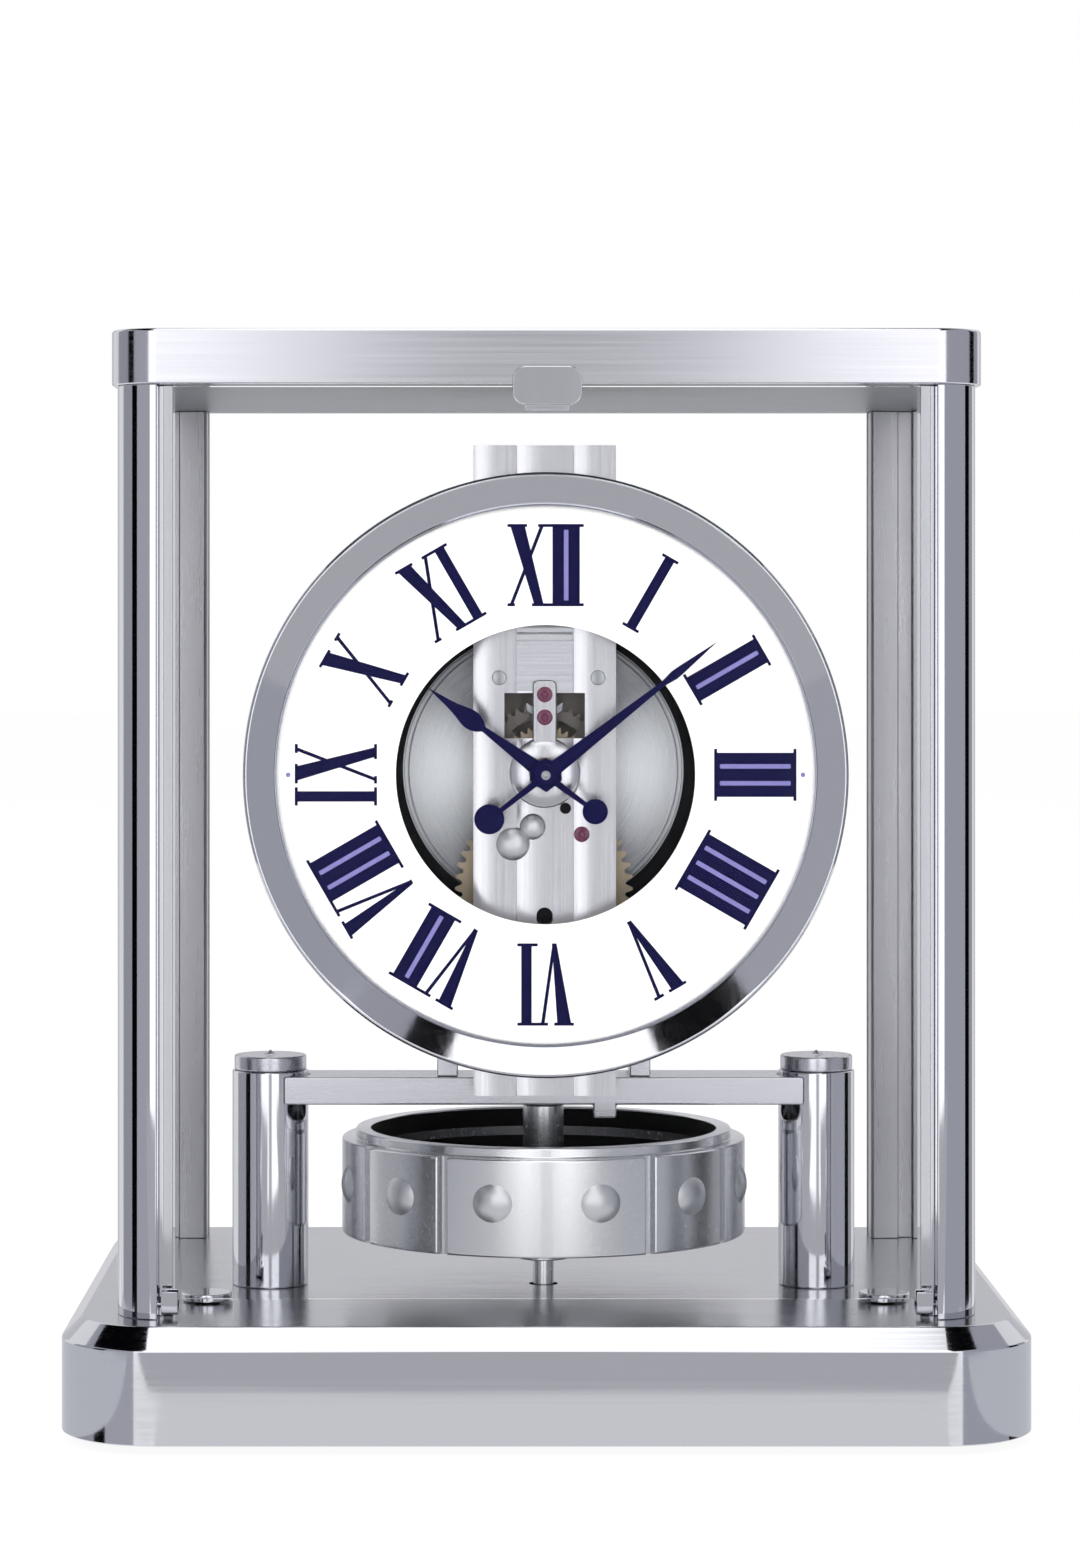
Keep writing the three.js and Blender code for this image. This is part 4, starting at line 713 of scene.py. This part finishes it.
cock = {"radius": 7.6, "stem": 2.6, "reach": 20.0, "bore": 2.9, "edge": 0.45, "crown": 0.9}
cockLow, cockHigh = nodeBox("escapement_cock")
share = np.linspace(0, 1, 10)
crownRadius = cock["bore"] + (cock["radius"] - cock["bore"]) * share
crownFace = cockLow[1] - cock["crown"] * (1 - share ** 2) + 0.3
disc = np.array([(cock["bore"], cockHigh[1]), *zip(crownRadius, crownFace), (cock["radius"], cockHigh[1]),
                 (cock["bore"], cockHigh[1])])
half, reach = cock["stem"], cock["reach"]
stem = np.array([(half, 4.0), (half, reach - 0.8), (half - 0.8, reach), (0.8 - half, reach),
                 (-half, reach - 0.8), (-half, 4.0)]) + (0, dialZ)
makePiece("keyhole_cock", [dialTurned(disc, 72), prism(stem, cockLow[1], cockHigh[1], "Y")], "satinUpright",
          "escapement_cock", bevel=cock["edge"], bevelSteps=3, sharp=40)

smallParts = {
    # places (x, z) from the dial's middle, then the radius where it isn't shared, then the sunk face
    "jewels": [(0.0, 16.9), (0.0, 12.0), (8.0, -13.3)], "jewelRadius": 1.7,
    "plateScrews": [(-9.8, 20.5), (11.5, 20.5)], "screwRadius": 1.6,
    "domes": [(-6.9, -15.4, 3.6), (-2.6, -11.7, 2.8)],
    "sunkScrews": [(4.5, -7.7, 1.2, 0.25), (0.0, -30.9, 1.75, 0.95)],
}
radius = smallParts["jewelRadius"]
for index, (x, z) in enumerate(smallParts["jewels"]):
    face = float(cockLow[1]) if z > 0 else plateFront
    stone = softened([
        (0.01, face + 0.4), (radius, face + 0.4), (radius, face - 0.25), (radius * 0.45, face - 0.4),
        (radius * 0.3, face - 0.2), (0.01, face - 0.15)], 0.2)
    makePiece(f"jewel_{index + 1}", [dialTurned(stone, 40, x, z)], "rubyJewel")
radius = smallParts["screwRadius"]
head = softened([(0.01, plateFront + 0.3), (radius, plateFront + 0.3), (radius, plateFront - 0.45),
                 (0.01, plateFront - 0.5)], 0.2)
for index, (x, z) in enumerate(smallParts["plateScrews"]):
    makePiece(f"plate_screw_{index + 1}", [dialTurned(head, 40, x, z)], "turnedSteel")
for index, (x, z, radius) in enumerate(smallParts["domes"]):
    bowl = [(0.01, plateFront + 0.3), (radius, plateFront + 0.3)]
    bowl += [(max(radius * math.cos(a), 0.01), plateFront + 0.2 - 1.5 * math.sin(a))
             for a in np.linspace(0, math.pi / 2, 10)]
    makePiece(f"plate_dome_{index + 1}", [dialTurned(bowl, 56, x, z)], "pearlRhodium")
for index, (x, z, radius, face) in enumerate(smallParts["sunkScrews"]):
    sunk = rod(radius, plateFront + 2.2, plateFront + face - 0.3)
    makePiece(f"sunk_screw_{index + 1}", [dialTurned(sunk, 32, x, z)], "blackenedSteelAndShade")
carried = {  # CAD nodes shown as they are
    "bottom_cover": "satinAcross", "lock_cup": "turnedSteel", "lock_lever": "turnedSteel",
    "centre_arbor": "turnedSteel", "centre_wheel": "shadedNickel", "cannon_pinion": "turnedSteel",
    # the wheels in brass and the wheels in nickel are darkened as painted shade
    "hour_wheel": "shadedBrass", "minute_wheel": "shadedBrass", "barrel_wheel": "shadedBrass",
    "escape_wheel": "shadedNickel", "pallet_anchor": "turnedSteel", "bellows": "lacqueredBrass",
    "bellows_plate": "turnedSteel", "suspension_wire": "turnedSteel",
}
for nodeName, finish in carried.items():
    for place in nodes[nodeName].material_slots:
        place.material = finishes[finish][0]
dressedCopy("suspension_bracket", "lacqueredBrass", 0.3)
print("movement made")


drum = {"radius": 48.0, "wall": 2.0, "face": 33.0, "faceWall": 3.0, "step": 7.6, "groove": 29.6,
        "grooveWidth": 1.0, "grooveDepth": 1.2, "footX": 21.05, "footWidth": 4.5, "footRise": 18.0}
faceY = float(standY + 1.9)
shoulderY = faceY + drum["step"]
drumBack = float(nodeBox("drum_housing")[1][1])
inner, faceInner = drum["radius"] - drum["wall"], drum["face"] - drum["wall"]
barTop = float(nodeBox("bridge_bar")[1][2])
grooveEnd = drum["groove"] + drum["grooveWidth"]
drumProfile = softened([
    (0.02, faceY), (drum["groove"], faceY), (drum["groove"], faceY + drum["grooveDepth"]),
    (grooveEnd, faceY + drum["grooveDepth"]), (grooveEnd, faceY), (drum["face"], faceY),
    (drum["face"], shoulderY), (drum["radius"], shoulderY), (drum["radius"], drumBack), (inner, drumBack),
    (inner, shoulderY + drum["wall"]), (faceInner, shoulderY + drum["wall"]),
    (faceInner, faceY + drum["faceWall"]), (0.02, faceY + drum["faceWall"])],
    [0, 0.15, 0.15, 0.15, 0.15, 0.8, 0.5, 1.5, 0.3, 0.3, 0.3, 0.3, 0.3, 0])
# the drum's face and lid carry the painted highlight in bright sectors
turnUv(makePiece("drum_shell", [dialTurned(drumProfile, 160)], "turnedRhodiumPaintedFan", "drum_housing"))
# painted shade: a black ring round the drum's face, where the gap behind the dial's hole falls dark
shadeRing = {"inner": 30.9, "outer": 34.2, "proud": 0.35}
shadeRingProfile = softened([
    (shadeRing["inner"], faceY + 0.3), (shadeRing["inner"], faceY - shadeRing["proud"]),
    (shadeRing["outer"], faceY - shadeRing["proud"]), (shadeRing["outer"], faceY + 4.0), (drum["face"] - 0.3, faceY + 4.0),
    (drum["face"] - 0.3, faceY + 0.3), (shadeRing["inner"], faceY + 0.3)], [0, 0.1, 0.4, 0.1, 0.1, 0.1, 0])
makePiece("drum_shade_ring", [dialTurned(shadeRingProfile, 128)], "blackenedSteelAndShade")
footTop = dialZ - math.sqrt((drum["radius"] - drum["wall"] / 2) ** 2 - drum["footX"] ** 2)
front, rear = standY - 6, standY + 19.5
footSide = [(front, barTop), (rear, barTop), (rear, footTop), (shoulderY + 0.5, footTop),
            (shoulderY + 0.5, barTop + drum["footRise"]), (front + 4, barTop + drum["footRise"]),
            (front, barTop + drum["footRise"] - 6)]
half = drum["footWidth"] / 2
for side, x in (("left", -drum["footX"]), ("right", drum["footX"])):
    makePiece("drum_foot_" + side, [prism(footSide, x - half, x + half, "X")], "satinAcross", bevel=0.3)
low, high = nodeBox("drum_lid")
lidRadius = (high[0] - low[0]) / 2
lidProfile = softened([
    (0.02, low[1]), (lidRadius, low[1]), (lidRadius, high[1]), (lidRadius - 3, high[1]),
    (lidRadius - 3.6, high[1] - 0.6), (14, high[1] - 0.6), (13.4, high[1]), (0.02, high[1])],
    [0, 0.2, 0.3, 0.2, 0.2, 0.2, 0.2, 0])
turnUv(makePiece("drum_rear_lid", [dialTurned(lidProfile, 160)], "turnedRhodiumPaintedFan", "drum_lid"))
print("drum made")


# bareBand: the band in the bore left bright, outside the painted shade, from and to so far below the top
ring = {"radius": 44.2, "rim": 41.1, "inner": 37.9, "lip": 2.4, "lipSheet": 2.0, "padHeight": 20.7,
        "groove": 2.2, "grooveDepth": 1.6, "grooveEdge": 0.35, "count": 12, "bareBand": (4.4, 6.4)}
ringLow, ringHigh = nodeBox("balance_ring")


def balanceRing():
    # section (r, z) carried round; the pads' r(t) dips by the groove's depth, but not at every third pad
    low, top = ringLow[2], ringHigh[2]
    inner, padTop, lipTop = ring["inner"], low + ring["padHeight"], low + ring["lipSheet"]
    section = softened([
        (inner, low + 10), *[(inner, top - deep) for deep in ring["bareBand"][::-1]], (inner, top),
        (ring["rim"], top), (ring["rim"], padTop), (ring["radius"], padTop), (ring["radius"], low),
        (inner - ring["lip"], low), (inner - ring["lip"], lipTop), (inner, lipTop), (inner, low + 10)],
        [0, 0, 0, 0.4, 0.4, 0.3, 0.6, 0.6, 0.4, 0.3, 0.3, 0])[:-1]
    pitch = 2 * math.pi / ring["count"]
    half = ring["groove"] / 2 / ring["radius"]
    soft = ring["grooveEdge"] / ring["radius"]
    edges = np.array([-half - soft, -half - 0.3 * soft, -half, -half + 0.6 * soft, 0, half - 0.6 * soft, half,
                      half + 0.3 * soft, half + soft])
    depth = np.array([0, 0.12, 0.6, 1, 1, 1, 0.6, 0.12, 0])
    plain = np.linspace(half + soft, pitch - half - soft, 14)[1:-1]
    turn = np.concatenate([np.concatenate([edges, plain]) + k * pitch for k in range(ring["count"])])
    grooved = np.array([k % 3 != 0 for k in range(ring["count"])])
    dip = (grooved[:, None] * np.concatenate([depth, np.zeros(len(plain))])).ravel() * ring["grooveDepth"]
    radius = section[:, :1] + 0 * turn
    radius = np.where(section[:, :1] > ring["rim"] + 0.4, np.minimum(radius, ring["radius"] - dip), radius)
    z = section[:, 1:] + 0 * turn
    return lofted(np.stack([radius * np.cos(turn), standY + radius * np.sin(turn), z], axis=-1), True)


rim = makePiece("balance_rim", [balanceRing()], "blastedRhodium", "balance_ring")
# a second, black material for the bore: painted shade
rim.data.materials.append(finishes["blackenedSteelAndShade"][0])
for face in rim.data.polygons:
    # the bore is painted black as shade, but for one band left bright
    away = math.hypot(face.center[0], face.center[1] - standY * mm) / mm
    deep = ringHigh[2] - face.center[2] / mm
    if abs(away - ring["inner"]) < 0.25 and deep > 0.6 and not ring["bareBand"][0] < deep < ring["bareBand"][1]:
        face.material_index = 1

weight = {"radius": 4.3, "side": 0.5, "head": 1.9, "seat": 1.0, "shank": 2.0, "shankLength": 4.0,
          "rise": 11.4}
seat = ring["radius"] - weight["seat"] + 0.3
domeRise = weight["head"] - weight["side"]
domeBall = (weight["radius"] ** 2 + domeRise ** 2) / (2 * domeRise)  # a cap of this ball
dome = [(r, seat + weight["side"] + math.sqrt(domeBall ** 2 - r ** 2) - (domeBall - domeRise))
        for r in np.linspace(weight["radius"], 0.01, 14)]
weightProfile = [(0.01, seat - weight["shankLength"]), (weight["shank"], seat - weight["shankLength"]),
                 (weight["shank"], seat), (weight["radius"] - 0.1, seat), (weight["radius"], seat + 0.1),
                 *dome]
for index in range(12):
    points, faces = turned(weightProfile, (0, 0, 0), "Y", 48)
    spin = np.array(Matrix.Rotation(math.radians(30 * index + 15) - math.pi / 2, 3, "Z"))
    points = points @ spin.T + (0, standY, ringLow[2] + weight["rise"])
    makePiece(f"rim_weight_{index + 1}", [(points, faces)], "pearlRhodium", f"balance_weight_{index + 1}")

staff = {"radius": 2.3, "collar": 5.6, "collarRise": 5.7, "collarSheet": 1.4, "hub": 4.5, "spiderSheet": 2.5,
         "armHalf": 5.0}
low, high = [corner[2] for corner in nodeBox("balance_staff")]
collarLow = plinthTop + staff["collarRise"]
collarTop = collarLow + staff["collarSheet"]
staffProfile = softened([
    (0.01, low), (staff["radius"], low), (staff["radius"], collarLow), (staff["collar"], collarLow),
    (staff["collar"], collarTop), (staff["hub"], collarTop + 1), (staff["hub"], high), (0.01, high)],
    [0, 0.5, 0.2, 0.3, 0.3, 0.3, 0.6, 0])
armLow, half = ringLow[2] + ring["lipSheet"], staff["armHalf"]
reach = math.sqrt((ring["inner"] - 0.3) ** 2 - half ** 2)
spider = []
for arm in range(4):
    turn = math.radians(90 * arm + 45)
    for u, v in ((half, -half), (reach, -half), (reach, half)):
        spider.append((u * math.cos(turn) - v * math.sin(turn),
                       standY + u * math.sin(turn) + v * math.cos(turn)))
makePiece("staff", [turned(staffProfile, (0, standY, 0), count=64)], "blastedRhodium", "balance_staff")
makePiece("staff_spider", [prism(spider, armLow, armLow + staff["spiderSheet"])], "polishedRhodium",
          body="balance", bevel=0.3)
print("balance made")


def glowing(material, colour, strength):
    return node(material, "Emission", {"Color": linear(colour), "Strength": strength})[0]


def addCard(name, points, faces, colour, strength):
    # a glowing card seen by polished surfaces only
    card = addMesh("card_" + name, points, faces)
    material = newMaterial(card.name)
    card.data.materials.append(surfaced(material, glowing(material, colour, strength)))
    for ray in ("camera", "diffuse", "transmission", "volume_scatter", "shadow"):
        setattr(card, "visible_" + ray, False)


def curvedCard(name, fromTurn, toTurn, low, high, colour, strength, radius=3000, steps=12):
    # an upright curved screen; its turn is in degrees from the camera's side, to the right
    turn = np.radians(np.linspace(fromTurn, toTurn, steps + 1))
    points = np.concatenate([
        np.stack([radius * np.sin(turn), -radius * np.cos(turn), 0 * turn + z], axis=-1)
        for z in (low, high)])
    faces = [[i, i + 1, i + steps + 2, i + steps + 1] for i in range(steps)]
    addCard(name, points, faces, colour, strength)


studio = {
    # name: (from, to, low, high, colour, strength)
    "boxLeft": (-25, -5.2, -520, 1500, "#ffffff", 1.8),
    "boxRight": (6.8, 27, -520, 1500, "#ffffff", 1.8),
    "greyLeft": (-61, -25, -900, 1500, "#bcbdc4", 1.0),
    "stripLeft": (-77, -61, -900, 1500, "#060608", 1.0),
    "edgeLeft": (-112, -77, -900, 1500, "#acadb3", 1.0),
    "greyRight": (27, 91, -900, 2600, "#b6b8c0", 1.0),
    "stripRight": (91, 108, -900, 1500, "#060608", 1.0),
    "edgeRight": (108, 126, -900, 1500, "#acadb3", 1.0),
    "back": (140, 220, -900, 1400, "#d9d9dd", 1.0),
}
for name, values in studio.items():
    curvedCard(name, *values)
# between the white boxes the light dips towards the middle: least + bend times the squared turn from it
gap = {"from": -5.2, "to": 6.8, "middle": 0.9, "least": 0.6, "bend": 0.03, "steps": 9}
edges = np.linspace(gap["from"], gap["to"], gap["steps"] + 1)
for index, (start, end) in enumerate(zip(edges[:-1], edges[1:])):
    strength = gap["least"] + gap["bend"] * ((start + end) / 2 - gap["middle"]) ** 2
    curvedCard(f"gap_{index}", start, end, -900, 1500, "#fdfdff", float(strength))

front, side = float(plinthLow[1]), float(plinthHigh[0])
near, far, away = front - 62, front - 275, front - 480
levelCards = {
    # name: (corners, height, colour, strength)
    "tableNear": ([(-81, front), (83, front), (90, near), (-85, near)], 0.6, "#f4f4f5", 1.0),
    "tableFar": ([(-85, near), (90, near), (116, far), (-100, far)], 0.5, "#c9c9cc", 1.0),
    "wingLeft": ([(-85, near), (-100, far), (-112, away), (-420, away)], 0.5, "#c9c9cc", 1.0),
    "wingRight": ([(90, near), (116, far), (128, away), (420, away)], 0.5, "#c9c9cc", 1.0),
    "tableLeft": ([(-side, -57), (-side - 40, -165), (-side - 130, -110), (-side - 140, 20), (-side, 60)],
                  0.6, "#d8dadf", 1.0),
    "tableRight": ([(side, -57), (side + 40, -165), (side + 130, -110), (side + 140, 20), (side, 60)], 0.6,
                   "#d8dadf", 1.0),
    "under": (rectangle(-4000, 4000, -4000, 4000), -890, "#ffffff", 1.15),
    "above": ([(-300, 1400), (300, 1400), (280, 0), (912, -2937), (1000, -4600), (-1000, -4600),
               (-912, -2937), (-280, 0)], 2500, "#ffffff", 1.8),
    "aboveRight": ([(300, 1400), (280, 0), (912, -2937), (1000, -4600), (1500, -4600), (1400, -3200),
                    (1400, 1400)], 2505, "#060608", 1.0),
    "aboveLeft": ([(-300, 1400), (-280, 0), (-912, -2937), (-1000, -4600), (-2425, -4600), (-2425, -3850),
                   (-2300, 1400)], 2505, "#060608", 1.0),
    "farRight": ([(1400, 1400), (1400, -3200), (1500, -4600), (6000, -4600), (6000, 1400)], 2508,
                 "#b2b3bb", 1.0),
    "farLeft": ([(-2300, 1400), (-2425, -3850), (-2425, -4600), (-6000, -4600), (-6000, 1400)], 2508,
                "#b2b3bb", 1.0),
}
for name, (corners, height, colour, strength) in levelCards.items():
    addCard(name, [(x, y, height) for x, y in corners], [list(range(len(corners)))], colour, strength)

floor = addMesh("floor", [(x, y, 0) for x, y in rectangle(-6000, 6000, -6000, 6000)], [[0, 1, 2, 3]])
paper = newMaterial("white_paper")
fibre = noise(paper, node(paper, "TexCoord")["Object"], 900.0, 2.0)
matt = node(paper, "BsdfDiffuse", {"Color": blend(paper, fibre, "#ffffff", "#fdfdfd")})[0]
seen = anyRay(paper, "Camera", "Glossy", "Transmission")
share = node(paper, "Math", {0: seen, 1: 0.9}, operation="MULTIPLY")[0]
lit = node(paper, "MixShader", {0: share, 1: matt, 2: glowing(paper, "#ffffff", 1.0)})[0]
floor.data.materials.append(surfaced(paper, lit))
floor.visible_glossy = False

world = bpy.data.worlds.new("studio")
bpy.context.scene.world = world
world.use_nodes = True
world.node_tree.nodes.clear()
seen = anyRay(world, "Camera", "Glossy", "Transmission")
brightness = node(world, "MapRange", {"Value": seen, "To Min": 0.9, "To Max": 1.0})[0]
sky = node(world, "Background", {"Color": (1, 1, 1, 1), "Strength": brightness})[0]
node(world, "OutputWorld", {"Surface": sky})


def softLamp(name, place, target, size, power):
    data = bpy.data.lights.new(name, "AREA")
    data.shape, data.size, data.energy = "SQUARE", size, power
    lamp = addObject(name, data)
    lamp.location = place
    direction = np.array(target) - np.array(place)
    lamp.rotation_euler = (math.atan2(math.hypot(direction[0], direction[1]), -direction[2]), 0,
                           math.atan2(-direction[0], direction[1]))
    lamp.visible_glossy = False
    lamp.visible_transmission = False


middle = (0, 0, 0.12)
softLamp("lamp_left", (-1.1, -1.3, 1.1), middle, 0.9, 16)
softLamp("lamp_right", (1.2, -1.1, 0.9), middle, 0.9, 12)
softLamp("lamp_top", (0, 0.2, 1.7), middle, 1.2, 10)

view = {"lens": 88.3, "sensor": 36, "shift": (0.0417, -0.1026), "clip": (0.05, 30),
        "place": (-0.015, -0.86, 0.1722)}
cameraData = bpy.data.cameras.new("camera")
camera = addObject("camera", cameraData)
cameraData.lens, cameraData.sensor_width = view["lens"], view["sensor"]
cameraData.shift_x, cameraData.shift_y = view["shift"]
cameraData.clip_start, cameraData.clip_end = view["clip"]
camera.location = view["place"]
camera.rotation_euler = (math.pi / 2, 0, 0)
bpy.context.scene.camera = camera
bpy.context.scene.view_settings.view_transform = "Standard"

print("stage ready")
